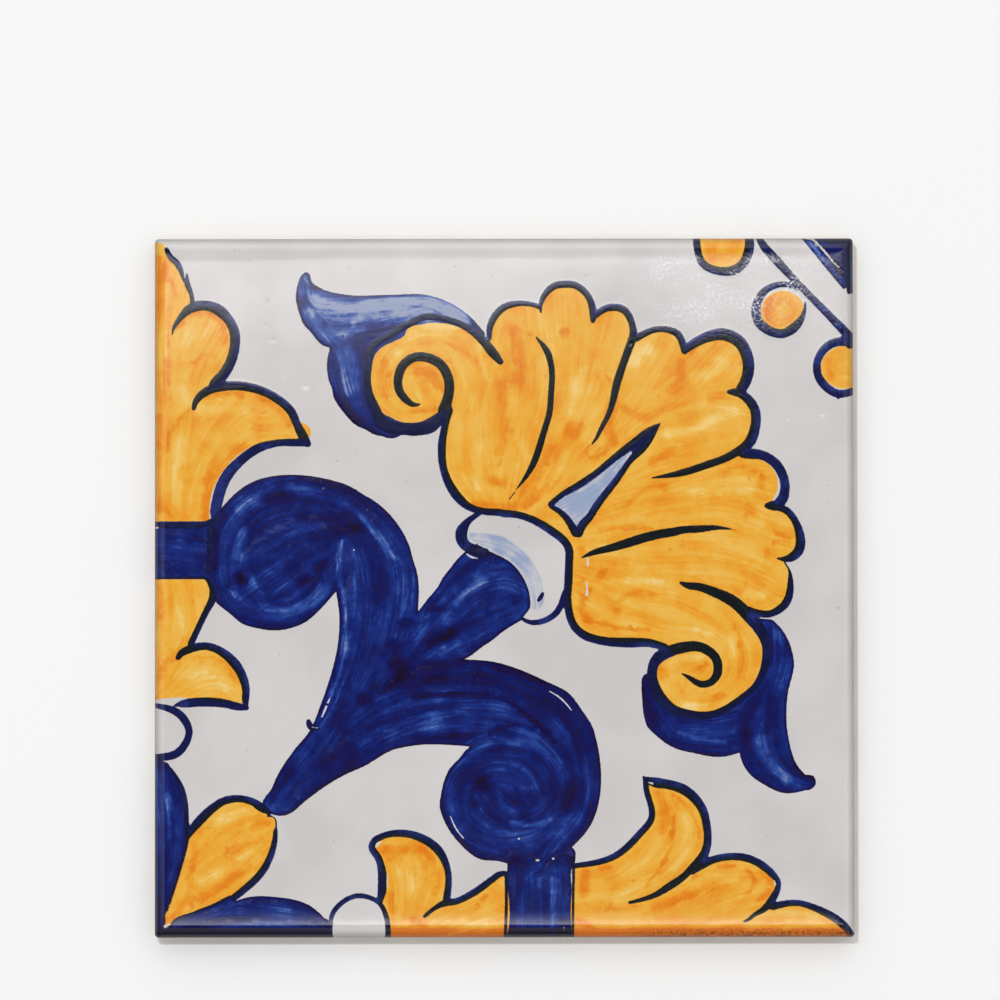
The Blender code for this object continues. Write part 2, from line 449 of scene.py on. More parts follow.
def scroll() -> Motif:
    """The big blue scroll: two bars, two volutes, the trunk between them and the palmette's stem.

    Returns:
        The figure.
    """
    top = (
        (-58.3, 13.6), (-56, 16.7), (-51.9, 20.4), (-36, 21.9), (-30.1, 19.9), (-28.1, 18.6), (-26.2, 17.5),
        (-18.8, 7.8), (-18.2, 5.5), (-17.5, 3.3), (-17.3, -4.9),
    )
    stem_left = (
        (-17.3, -4.9), (-15.1, -2), (-13.4, 0), (-12.4, 1.8), (-10.8, 3.9), (-9.2, 5.9), (-7.8, 7.2),
    )
    cup = ((-5.6, 8.8), (-3.9, 7.8), (2, 4.4), (5.2, -2.3), (5.1, -4.25), (4.25, -5.4), (3.3, -6.7))
    stem_right = ((3.3, -6.7), (0, -8.7), (-2.95, -11), (-4.9, -12.3), (-6.55, -13.6), (-8.2, -14.45))
    arm_top = (
        (-8.2, -14.45), (-3.3, -14.7), (8.8, -19), (12.8, -21.1), (15.4, -24.4), (17.7, -28.1),
        (18.3, -30.1), (16.4, -48.9), (13.5, -52),
    )
    bar_right = (
        (13.5, -52), (14.1, -52.7), (14.2, -54), (14.1, -55), (13.6, -55.9), (13.5, -61.2), (13.5, -70.4),
    )
    bar_left = ((-.1, -70.4), (.4, -61.2), (.4, -57.9), (.6, -55.3))
    eye = (
        (.6, -55.3), (-1.3, -54.8), (-4.6, -54.5), (-9.5, -50.7), (-11.9, -47.1), (-13, -43.5),
        (-12.8, -41.9), (-11, -36.3), (-8.8, -33.9), (-7.9, -32.7), (-6.9, -31.9),
    )
    arm_under = (
        (-6.9, -31.9), (-18.3, -31.7), (-21.9, -32.4), (-28.1, -35.8), (-32.1, -37.6), (-40.6, -43.4),
        (-42.2, -44.8), (-43.5, -45.5), (-46.8, -45.3), (-48.6, -44.2),
    )
    trunk_left = (
        (-48.6, -44.2), (-48.4, -42.85), (-46.6, -40.2), (-45.6, -37.9), (-41.7, -32), (-39.2, -29),
        (-36.8, -23.5), (-33.1, -4.9), (-33.7, -.8),
    )
    volute_under = (
        (-33.7, -.8), (-36, -3.5), (-40.1, -7.1), (-46.2, -8.6), (-48.7, -8.3), (-52.5, -7.2),
        (-54.9, -5.25), (-57.9, -2.7), (-59.7, 1.75),
    )
    bar_end = ((-59.7, 1.75), (-70.4, 1.75), (-70.4, 13.1), (-58.3, 13.6))
    return Motif(
        lines=(
            ((-70.2, 12.4, .6), (-65, 12.5, .55), (-60.5, 12.6, .6), (-58.6, 13.2, .7)),
            ((-70.2, 2, .3), (-65, 2, .25), (-60, 2, .3)),
            ((-59.4, 3, .5), (-59.1, 7, .55), (-58.9, 11.5, .6)),
            ((-39.2, -26.8, .5), (-38.7, -27.9, .7), (-37.3, -28.3, .3)),
        ),
        fills=(
            area(
                Pigment.BLUE, top, stem_left, cup, stem_right, arm_top, bar_right, bar_left, eye, arm_under,
                trunk_left, volute_under, bar_end,
            ),
        ),
        guides=guide_rows(
            (0, -70, 8, -65, 7.5, -60, 7),
            (
                0, -56.5, 1, -57, 9, -53, 16, -46, 19.8, -38, 20, -30, 17.5, -21.3, 5.5, -23.5, -12, -35,
                -30, -43, -41,
            ),
            (
                1, -50, -5, -53.5, 2, -52, 10, -46, 15, -38, 15.5, -31.5, 11.5, -28, -5, -33.5, -24, -39.5,
                -33, -46, -42.5,
            ),
            (0, -53, -2.5, -46, 2.5, -33, 10.5), (1, -52.5, 4, -46, 8.5, -38, 12),
            (1, -57.3, 2, -55, -2.5, -44, -6.4, -35, -1, -33.6, 4),
            (0, -24, -20, -16, -11, -10, -4, -4, .8, 1, 1.6, 5, -.5),
            (1, -20, -17.5, -13, -11.5, -5, -7.5, 3, -4), (1, -15, -5, -9, 1.5, -4.5, 6),
            (
                0, -44, -43.5, -34, -35, -24, -28.5, -12, -25.5, 8, -29, 13, -36, 12.5, -44, 6.5, -50, -2,
                -51, -8, -46.5, -8.5, -40, -3, -35.5, 4, -36.5, 7, -41,
            ),
            (1, -32, -27, -23, -21, -12, -17.7, 14.5, -28.8, 15.8, -45, 11, -51, 7, -56),
            (
                1, -2, -53, -8.5, -49, -11, -43, -3, -32.5, 5, -33, 9.5, -38.5, 8.5, -45, 2, -47.5, -3.5,
                -43.5,
            ),
            (0, 3.5, -55, 3.5, -70), (1, 10, -55, 10, -70),
        ),
        accents=accent_rows(
            (-.9, .9, -53.5, 15.6, -50, 18.5, -47.5, 20), (-.6, 1, -43, 20.3, -36, 19.6, -31, 17),
            (-1.4, .5, -28.8, 14.3, -25.5, 10.5, -22, 6), (-1.4, .8, -52.2, 11.5, -52.6, 8, -53, 6),
            (-1, .4, -50.5, 2, -49.5, 0, -48.5, -1.2),
            (-.9, .9, -54.7, -1, -50, -3.5, -38.5, -2.5, -36.5, 0), (-.9, .5, -36, 16.2, -33, 15.2),
            (-.4, .6, -32, 9.5, -33, 5, -33.5, 2), (-.7, .8, -40, 3.5, -39, 3.6),
            (1.4, .7, -58.5, 12, -57.6, 8, -58, 4), (2.2, 1, -53, 2.4, -52.6, 1.6),
            (1.6, .9, -47.5, 18, -43, 18.8), (1.2, .8, -40, 14, -33.5, 13.8),
            (1.4, .9, -38, 10, -34, 11.2, -29, 12), (1.4, .8, -41, 1, -39.5, 1.6),
            (1.5, 1, -37, 4, -35.6, 4.8), (1.3, .9, -20.5, -7, -19, -7),
            (1, .3, -52, 18.6, -45.5, 21, -38, 21.2, -31, 18.9, -24.6, 14.2),
            (2.2, 1.5, -21.5, -15.5, -20.3, -17.5), (2, 1, -28.6, -22.3, -27.2, -22.5),
            (1.5, .9, -22.3, -11.2, -21.8, -12), (1.1, 1.2, -26, -20, -20, -19, -12, -18.3),
            (1, 2, -33, -28, -31, -31.5, -37, -36), (.9, 1.2, -43, -36.5, -46, -39.8),
            (-1, .25, -24, -28.8, -18.5, -26.6, -14, -25), (-.7, .8, -22.5, -30, -17, -28.2, -13, -27),
            (-.8, .5, -31, -30.6, -29.5, -30), (-1.3, .9, -12, -7, -9, -3, -4, 1),
            (-.8, .7, -5.6, 2.3, 0, 4.5), (-1.3, .7, -18, -15, -12, -12),
            (2, 1.1, -12.2, -9.8, -10.8, -9.2), (1.5, .7, -15, -11.3, -14, -10.7),
            (1.4, .6, -15, -4.5, -10.5, -4), (1.2, .8, 2.2, -2.8, 3.2, -2), (.8, .7, -3.5, 6.3, -2, 5.5),
            (1.3, 2.2, -17, -17, -5, -17, 5, -19, 12, -24, 16, -31),
            (2, .25, -18, -22, -8, -21.3, 0, -22.5, 5, -26, 10, -31),
            (-.8, 1.1, -17, -28, -10, -25, 0, -24.5, 4, -27), (1.4, .3, -3, -29, 3, -27.5, 6, -28),
            (1, .7, -18, -29.9, -6, -29.7), (-.8, .6, 9, -25, 13, -30), (-.9, .5, -2, -30, 3, -31.5),
            (1.6, 1.8, 14.5, -40, 14.3, -42), (1.1, 1.3, 12.7, -41.5, 12.5, -44),
            (1.6, 1.3, -5, -38.5, -4.5, -40), (1.2, .8, -2.5, -41, -2.2, -42),
            (1.5, .8, -6.3, -43, -5.7, -43.6), (1.5, .8, 3.6, -45.8, 4.6, -45.8),
            (-1.4, .4, 1.5, -47, 7, -47.3, 9, -46.5), (-.9, .7, -5.5, -44.8, -4.5, -44.2),
            (-.8, .7, 3.8, -40.3, 5.2, -40.3), (-.6, 1.6, 0, -49.5, 12, -49.5),
            (1.1, 1.3, 1.5, -54.7, 7, -54.3, 12.8, -54.7), (-1.1, .5, 7.2, -58, 7.2, -69),
            (-1, .45, 9.6, -58, 9.6, -69),
            # Painted highlight: this thin pale line runs down the trunk, along the paint's raised edge.
            (
                -2, .25, -32.5, 9.3, -32.7, 0, -32.4, -1, -32, -3.3, -32.8, -16.4, -33.5, -18.7, -34.4,
                -20.6, -35.2, -22.9,
            ),
        ),
        bare=(
            ((-34.95, -22.2, .1), (-35.8, -24.2, .22), (-36.5, -25.9, .12)),
            # Painted highlight: the pale lines from (-10.8, -45.8) and from (9, -20.8) run along the paint's
            # raised edge.
            ((-10.8, -45.8, .1), (-9.8, -48.1, .16), (-8.2, -50.2, .1)),
            ((9, -20.8, .1), (11.1, -22.1, .16), (13.4, -24.6, .1)), ((6.4, -54.6, .2), (6.8, -54.6, .2)),
            ((9.6, -54.3, .2), (9.9, -54.3, .2)), ((-30.1, 7.5, .15), (-29.9, 7.5, .15)),
            ((-38.6, -27.9, .06), (-37.4, -28.1, .08)), ((-69.9, 12, .2), (-69.3, 12.1, .2)),
            ((-7.5, 6.7, .12), (-6.6, 6.1, .22), (-5.4, 5.8, .12)), ((2.8, -50.3, .18), (3.1, -50.3, .18)),
            ((11.8, -68, .1), (11.8, -70.2, .2)),
        ),
    )


def calyx() -> Motif:
    """The white cup that holds the palmette, shaded with a thin blue wash.

    Returns:
        The figure.
    """
    left = (
        (-5, 14.8, .5), (-7.7, 12.7, .85), (-8.5, 11.2, 1.2), (-8.5, 9.6, 1.2), (-7.6, 8.3, 1.1),
        (-6.2, 7.6, 1.1), (-3.9, 6.9, 1),
    )
    bottom = ((3.6, -6.3, .35), (5, -6.95, .5), (10, -5.5, .65), (12.2, -1.2, .7))
    wash = ((-7, 11), (-3, 10.8), (0, 10.1), (2, 8.8), (4.3, 6.9), (7.85, 0), (8, -3))
    inner = ((7, -4.5), (5.1, -4.25), (5.2, -2.3), (2, 4.4), (-2, 6.9), (-7.2, 9.6))
    return Motif(
        lines=(left, bottom, ((7.7, -1.2, .3), (7.3, -2, .5), (6.8, -2.7, .3))),
        fills=(area(Pigment.WASH, wash, inner),),
        guides=guide_rows((0, -6.5, 11.5, 0, 10.5, 9.5, 0, 9, -5), (1, -6, 9, 1, 7, 6, 1, 6.5, -5)),
    )


CALYX_TOP = (
    (-5.5, 15.5, .75), (-3.5, 15.15, .75), (-1, 15, .78), (0, 14.8, .8), (2, 14.65, .75), (8.6, 11.9, .85),
    (12.9, 7.8, .85), (12.95, 4.2, .85), (12.6, -2, .85),
)
PALMETTE_LEFT = (
    (-5.5, 15.5, .75), (-7.3, 16.3, .8), (-8.9, 17.7, .95), (-12.05, 23.5, .8), (-12.45, 28.5, .85),
    (-11.85, 32.5, .8), (-11.5, 35.5, 1.3),
)
PALMETTE_UNDER = (
    (12.6, -2, .85), (14.6, -8.5, .85), (16.4, -9.8, .9), (18.6, -10.5, .9), (26, -11.1, 1),
    (28.5, -11.1, .9), (32, -12, .8),
)
LOBES = (
    (
        (-2.9, 50, .5), (-2.9, 51.7, .65), (-.5, 55.8, .75), (5.4, 56.75, .5), (6.8, 56.3, .45),
        (7.2, 55.9, .3),
    ),
    (
        (7.4, 55.2, .25), (7.4, 56.8, .45), (10.4, 60.5, .75), (12.2, 60.75, .75), (14.1, 60.6, .75),
        (16.7, 58.6, .7), (17.8, 55.6, .75), (17.9, 54.4, .75), (17.8, 53.4, .5),
    ),
    ((18.4, 54.6, .7), (20.8, 56, .75), (23.7, 55.8, .8), (25.9, 51.6, .75), (25.9, 50.2, .9)),
    ((26.6, 50, .8), (31.5, 51.75, .65), (34.6, 50.9, .75), (36.2, 47.3, .7)),
    (
        (36.3, 47.7, .9), (41.6, 50.4, 1.15), (43.5, 50.7, 1.25), (46.9, 49.4, 1.25), (49, 44.3, 1.2),
        (48.2, 40.8, 1.15), (47.6, 39.8, 1.1),
    ),
    (
        (47.2, 38.9, .9), (48.3, 38.2, .95), (50.2, 35.6, 1), (50.2, 31.6, 1.05), (48.9, 28.7, 1.1),
        (47.6, 27.7, .9),
    ),
    (
        (47.7, 26.8, .95), (49.5, 26.7, 1.1), (51.2, 26.55, 1), (54.4, 24.7, 1), (56.2, 19.2, 1),
        (55.7, 17.6, 1.1), (54.6, 16.6, .9),
    ),
    (
        (55.2, 15.9, .75), (56.7, 15.2, .75), (57.9, 13.8, .75), (58.5, 6.7, 1), (57.2, 5.8, .85),
        (55.9, 5.6, .5), (54.8, 5.7, .25),
    ),
    (
        (56.2, 4.7, .15), (56.8, 3.9, .2), (57.3, .8, .65), (56.3, -3.3, .85), (53.4, -5.3, .75),
        (48.7, -4.6, .8),
    ),
)
VEINS = (
    (
        (6.5, 50.1, .2), (8.85, 46.8, .7), (9.4, 44.8, .65), (9.4, 38.3, .65), (9.1, 35, .65),
        (8.15, 31.7, .68), (5.2, 23.5, .6), (2.45, 19.6, .12),
    ),
    (
        (25.9, 50.2, .9), (23.9, 44.8, .8), (22.8, 41.5, .85), (21.2, 35.3, .6), (19.1, 31.1, .45),
        (18.2, 29.4, .3), (17.35, 28.5, .15),
    ),
    ((47.2, 27.5, .9), (46, 26.7, .85), (40.1, 24.3, .8), (36, 23, .75), (29.6, 21.9, .15)),
    (
        (15.5, 5.9, .15), (17, 6.6, .45), (22.2, 8.1, .85), (31, 10.6, .95), (34, 11.1, .9), (36, 11.5, .8),
        (39.2, 11.65, .75), (42.4, 11.9, .5), (45.5, 11.6, .15),
    ),
    (
        (35.3, .9, .3), (36.5, .4, .65), (39.2, 0, .85), (42, -1, 1), (46, -3, 1.2), (49, -5.9, 1.25),
        (51.7, -9.4, 1.1), (52.3, -11.3, .9), (52.2, -15.5, .85), (50.6, -19.2, .6), (47.5, -22.2, .7),
        (41, -25.6, .8), (36, -25.2, .9), (33.8, -24.5, 1), (32, -23, 1.1), (29.7, -19.2, 1.2),
        (29.5, -17.2, 1), (29.9, -15.2, 1), (30.8, -13.8, 1),
    ),
    ((44.9, 39.1, .4), (45.9, 39.1, .75), (47.2, 38.9, .9)),
    ((52.7, 16.3, .6), (53.8, 16.3, 1), (55.3, 16.3, .9)),
)
UPPER_CURL = (
    (
        (-.7, 45.2, .65), (-2.3, 47.1, 1), (-3.9, 49.1, .9), (-8.2, 52.5, .7), (-13.1, 54, .7),
        (-15.1, 54.3, .7), (-19.6, 52.5, .7), (-23.6, 50.1, .7), (-25.5, 49.1, .7), (-26.8, 47.4, .8),
        (-27.3, 44.8, .8), (-26.8, 38.3, .8), (-25.9, 36.3, .9), (-24.9, 33.7, 1.3), (-22.9, 32.1, 1.35),
        (-20.3, 31.8, 1.3), (-16.3, 32, 1.3), (-13, 33.8, 1.2), (-12, 34.5, 1),
    ),
    (
        (-16.9, 36.7, .2), (-18, 36.6, .5), (-19.6, 37.6, .75), (-20.9, 39.3, .85), (-20, 44.8, .95),
        (-18.3, 46, .95), (-12.8, 44.8, 1), (-11, 41.2, 1), (-11.5, 37, 1.1), (-12.1, 35.3, 1.2),
        (-11.9, 34, 1),
    ),
)
UPPER_CURL_EDGE = (
    (-13.4, 35), (-16, 33.4), (-21.3, 33.4), (-22.9, 34.2), (-24.4, 35), (-26.3, 38.3), (-26.5, 43.8),
    (-25.9, 46.5), (-24.5, 48.1), (-21.9, 49.4), (-19.8, 50.7), (-19.6, 51.4), (-15.7, 52.9), (-8, 51.8),
    (-3.9, 49),
)
LOWER_CURL = (
    (30.3, -14.5, 1), (31.3, -13.6, 1), (34.2, -12.45, 1.15), (39.8, -12.2, 1), (42.4, -14.4, .95),
    (42.5, -17.6, .9), (41.5, -18.9, .8), (40, -19.45, .75), (36.1, -17.6, .3), (35.5, -17.3, .15),
)
LOWER_CURL_EDGE = (
    (34.4, -13.6), (30.8, -16), (30.7, -19), (34.7, -24.2), (36, -24.5), (37.9, -25.1), (41.7, -25),
    (47.5, -21.6), (48.9, -20.4), (51.65, -13.4), (51.5, -11.45), (50, -8.9), (48.7, -7.2),
)
TRIANGLE = (
    (
        (9.3, 16.6, .6), (11, 18.1, .6), (15, 20.5, .75), (18.5, 22.9, .7), (22, 25.8, .75),
        (25.3, 28.3, .9), (30.2, 32, .6), (31.3, 32.8, .15),
    ),
    (
        (31.2, 32.7, .15), (28, 28.3, .9), (25.2, 25.3, .65), (22.8, 21.9, .7), (18, 15.5, .8),
        (17.35, 14.4, .8), (15.7, 12.5, .9), (14.9, 10.8, .9),
    ),
    ((9.5, 16.1, .5), (11.2, 15.1, .6), (14.3, 10.9, .9)),
)


def palmette() -> Motif:
    """The big orange palmette: nine lobes, their veins, two curls and the pale triangle.

    Returns:
        The figure.
    """
    seventh = ((47.7, 26.6), (50, 26), (52.2, 25.2), (54.6, 22.3), (54.5, 18.8), (53.6, 17.2))
    outline = (
        middle(CALYX_TOP), middle(PALMETTE_UNDER), LOWER_CURL_EDGE, ((48.7, -7.2), (48.7, -4.6)),
        back(middle(LOBES[8])), back(middle(LOBES[7][:-2])), back(seventh), back(middle(LOBES[5])),
        back(middle(LOBES[4])), back(middle(LOBES[3])), back(middle(LOBES[2])), back(middle(LOBES[1])),
        back(middle(LOBES[0])), back(UPPER_CURL_EDGE), back(middle(PALMETTE_LEFT)),
    )
    triangle = (middle(TRIANGLE[0]), middle(TRIANGLE[1]), back(middle(TRIANGLE[2])))
    return Motif(
        lines=(
            CALYX_TOP, PALMETTE_LEFT, PALMETTE_UNDER, *LOBES, *VEINS, *UPPER_CURL, LOWER_CURL, *TRIANGLE,
            ((2.1, 19, .15), (1.1, 17.7, .15)), ((46.1, 11.5, .12), (46.3, 11.5, .12)),
        ),
        bare=(((16.4, .9, .18), (16.6, -.4, .2), (16.5, -1.5, .32)), ((16.7, 5.8, .2), (16.7, 4.4, .24))),
        fills=(
            area(Pigment.YELLOW, *outline),
            area(Pigment.YELLOW, *triangle, hole=True),
            area(Pigment.WASH, *triangle),
            area(
                Pigment.LINE, ((25, 28.1), (28.5, 31), (31.2, 32.8), (29.6, 30.3), (26.2, 26.6)),
                ((26.2, 26.6), (25.6, 27), (25, 28.1)),
            ),
        ),
        guides=guide_rows(
            (
                0, -4, 16.5, -8, 23, -8.7, 33, -7, 42, -9.5, 48, -16, 49.6, -22, 46.5, -24.2, 41.5, -22.5,
                37, -18, 34.8, -14, 37,
            ),
            (1, -15.5, 35.5, -18.6, 39, -18.6, 42.5, -15.8, 44, -13.2, 42, -13.3, 38.5),
            (1, -2, 16.5, -2.5, 35, 0, 44, 1.5, 55.5), (0, 1, 16.5, 3, 27, 5.8, 38, 5.5, 47, 4.5, 56),
            (1, 3.5, 16, 10, 29, 13.2, 42, 12.8, 59.5), (0, 6, 16, 14.5, 31, 21.6, 55),
            (1, 8.5, 17, 26.5, 40.5, 31.3, 50.5), (0, 11, 19, 24, 31, 35.5, 40, 43.5, 48.8),
            (1, 24, 29, 34, 33.5, 42, 34.5, 49, 33.5), (0, 21, 20, 30, 25, 38, 27, 46.5, 30),
            (1, 19, 15.5, 31, 18.5, 43, 21, 54.5, 20.5), (0, 16, 11, 28, 13.5, 42, 15, 57.5, 10.5),
            (1, 14.5, 7, 29, 6.5, 43, 6, 56.5, 1),
            (
                0, 14.5, 3, 26, 0, 37, -3, 44.8, -7.5, 48, -13.5, 46, -19.8, 40, -23.2, 34.4, -21.5, 33,
                -17.5, 36, -15,
            ),
            (1, 14.5, -1, 24, -6, 33, -8.5, 40, -9.5, 44.5, -13.5, 44, -18.5, 40, -21.3, 36.5, -20),
            (1, 35, -15, 38.5, -14.2, 40.6, -15.6, 40, -17.4, 38, -17.4), (1, 11, 16, 18, 19.5, 29, 31),
        ),
        accents=accent_rows(
            (1.1, 1.2, 2, 51.5, 3, 47, 2.8, 41), (1.1, 1, 12.2, 51.5, 12, 50.5),
            (1, .9, -4.5, 46.5, -5, 44.8), (1, 1.1, -.8, 41, 0, 32, -1, 27), (1.4, .8, -2.5, 21.3, 0, 21),
            (1, 1.2, 13, 32, 13, 31), (1, 1.4, 15, 32, 10, 27, 4, 18.5), (1.1, .8, 10, 21, 5, 17, -6, 16.8),
            (1.2, 1.1, 22, 37, 21, 31, 22, 29), (1.2, 1, 35.5, 45, 35, 41, 33, 39.5),
            (1, 1, 41.6, 37.6, 42.8, 38.8, 44, 38.7), (.8, 1, 38, 47, 42, 47.3),
            (1, .8, 32, 35.5, 36, 36.5), (1, .8, 24, 36, 28, 34, 31, 35), (1.1, .9, 33.5, 27.3, 29.5, 25),
            (.9, .6, 52, 22, 50, 23.5, 44, 23.5), (1.1, .9, 51.5, 21, 51, 20),
            (1.2, 1.2, 49, 15.8, 49.5, 15.2), (1, .7, 25, 17, 28, 19.5, 33, 20.5),
            (1.1, .8, 15.3, 7.6, 15.5, 6.8), (1.3, .9, 19.5, 3, 19.5, 2.2),
            (1, .8, 17.2, -.7, 15.7, -2.4, 16.4, -6.4), (1.1, .7, 22.3, -4.8, 22.8, -5),
            (.9, .6, 23, -2.6, 26, -1, 30, -1.3), (.9, .8, 19.4, 11.5, 23, 12, 29, 12),
            (1.2, .8, 52.6, 7, 52.6, 6.4), (.8, 1, 53, 12.4, 57, 9.3), (.9, .8, 46, -8, 47.5, -13, 47, -17),
            (1.5, .8, 43.5, -21.7, 42.5, -21.8), (1.3, 1, 31.6, -17, 31.7, -17.8),
            (1, .8, 40, -15.3, 39, -16.3), (1.3, .2, 16.4, -6.5, 22, -7.9, 29, -8.6),
            (1.1, .2, 17, 28.4, 16.3, 27, 17.3, 26, 20.3, 27.6, 20.6, 28.4),
            (1, 1, -24, 45, -23.5, 41.5, -23.8, 38.5), (1.3, 1.1, -17.3, 43.5, -14.5, 43, -13, 40.5),
            (.9, .7, -18.5, 35.2, -14, 35.8), (.8, .7, -20, 48.5, -12, 49, -7, 46.5),
            (-.9, 1, -21.5, 47, -17, 50.7, -11, 51), (-.9, .8, -17.5, 40, -17, 38.5),
            (-.9, 1.2, -6, 38, -5.5, 28, -5, 20), (-1, .9, 4.5, 26, 3.5, 29), (-.8, 1, 14, 42, 13.5, 35),
            (-.8, .9, 16, 44, 15, 38), (-.9, .7, 9, 51, 10, 47), (-1.2, .4, -5, 49, -3.5, 42),
            (-.9, 1.4, 26, 45, 28, 48, 30, 47), (-1, 1.4, 40, 47, 44, 45, 38, 42),
            (-1, 1.2, 33, 31, 37, 31, 42, 34, 46, 35), (-.9, 1, 38, 19, 50, 19.5),
            (-.9, .9, 20.7, 1.2, 31.6, 1.2), (-1.5, .8, 51.7, -1.6, 48.2, -1.6),
            (-.8, .8, 38, -8.3, 42, -9.5), (-1, .7, 45.5, -10, 45.5, -14), (-1, .8, 34, -14.3, 39, -14.3),
            (-1, .8, 36, -24, 40, -23.8),
        ),
    )


def curl_leaves() -> Motif:
    """The two blue leaves behind the palmette's curls.

    Returns:
        The figure.
    """
    upper_left = (
        (-39.6, 63.4), (-40.7, 62.5), (-41.4, 60.5), (-41.7, 58.9), (-40.9, 54.6), (-40.1, 52.7),
        (-38.9, 51.4), (-36, 48.4), (-34.9, 48.1),
    )
    upper_under = (
        (-34.9, 48.1), (-35.5, 44.8), (-35.1, 41.5), (-34.5, 39.9), (-34.2, 38.3), (-32.1, 35),
        (-29.5, 32.4), (-27.5, 31.5), (-26.2, 30.7), (-24.5, 30.3), (-23.2, 29.9), (-21.6, 30),
        (-20.6, 30.5), (-18.3, 30.35), (-13.1, 31.9), (-12.6, 32.7),
    )
    upper_top = (
        (-3.8, 51), (-7.9, 55.3), (-15.1, 58.6), (-22.9, 58.7), (-32.1, 58.8), (-36.6, 60), (-38.6, 61.5),
        (-38.9, 62.8), (-39.6, 63.4),
    )
    lower_left = (
        (31.1, -12.6), (30.3, -13.1), (29.2, -15.7), (29.05, -17.2), (28.3, -17.3), (27.65, -17.9),
        (27.4, -19.6), (27.5, -21.6), (28, -26.2), (28.5, -27.8), (30.1, -29.5), (33.7, -32.1),
        (37.9, -33.25), (43.6, -34), (47, -33.15),
    )
    lower_right = (
        (47, -33.15), (47.5, -35), (49.7, -38.1), (51.4, -39.25), (56.3, -41.3), (59.9, -40.8),
        (61.5, -40.4), (62.2, -39.7), (61.9, -37.9), (60.2, -37.55),
    )
    lower_top = (
        (60.2, -37.55), (59.2, -36.5), (56.7, -29.3), (56.6, -22.3), (57.95, -14.6), (54.8, -7.6),
        (53.5, -6.5), (52.5, -6.4),
    )
    return Motif(
        fills=(
            area(
                Pigment.BLUE, upper_left, upper_under, ((-12.6, 32.7), (-12, 40)), ((-12, 40), (-3.9, 49)),
                upper_top,
            ),
            area(
                Pigment.BLUE, lower_left, lower_right, lower_top, ((52.5, -6.4), (50.4, -6.2)),
                ((50.4, -6.2), (49.5, -9.5), (42, -14), (33, -13)),
            ),
        ),
        guides=guide_rows(
            (0, -40, 61, -39, 56.5, -33, 55.5, -24, 56.5, -15, 56.5, -7, 53),
            (1, -39.5, 57, -36, 52.5, -24, 53.5, -16, 55.3),
            (0, -37.5, 53.5, -33, 48, -29.5, 36.5, -24, 32, -16, 31.5),
            (1, -33.5, 50.5, -29, 46.5, -29, 40, -27.3, 34.5),
            (0, 61, -39, 55, -36.5, 52.5, -22, 54.7, -15, 54.3, -9), (1, 57, -40, 48.5, -30, 53.5, -19),
            (0, 48.5, -31, 34.5, -30, 30, -25.5, 28.8, -20), (1, 47, -27.5, 34.5, -27.5, 29, -19),
        ),
        accents=accent_rows(
            # Painted reflection: the first accent pales the top of the upper leaf, where the window shows in
            # the glaze.
            (-3.4, 2.7, -37, 57, -31, 55.3, -24, 55.8, -16, 55.8, -9, 54.3),
            (-1.6, 1.2, -39.4, 54.4, -37.6, 51.9, -35.5, 50.2), (-1.5, 1, -39.9, 62, -40.4, 59.6),
            (.8, .6, -41.4, 57.3, -38.4, 57), (-1.8, 1.2, -34, 51.5, -29, 51.8),
            (-1.5, 1.5, -32.2, 50, -31.3, 45, -31.3, 40), (1.1, 1.2, -34, 38.5, -31, 34.5, -25, 32),
            (1.2, .5, -29.5, 50.5, -23, 52.3, -17, 54.2, -13, 54.6),
            (-1.6, 1, 56.5, -38.5, 54, -35, 52.6, -30.5), (-.8, .5, 50.5, -31, 52, -26),
            (-1, .5, 35, -29, 40, -30.5, 44.5, -31), (1, 1.2, 48.5, -33, 48.3, -28.5),
            (1.1, 1.1, 30, -27.5, 29, -22, 28.8, -18.5), (.8, 1, 58.5, -36, 61, -38.5),
            (-.7, 1.1, 54.5, -21, 56, -12.5, 54.4, -9), (-.6, 1, 42, -20.5, 36, -19, 33, -15.5),
        ),
    )


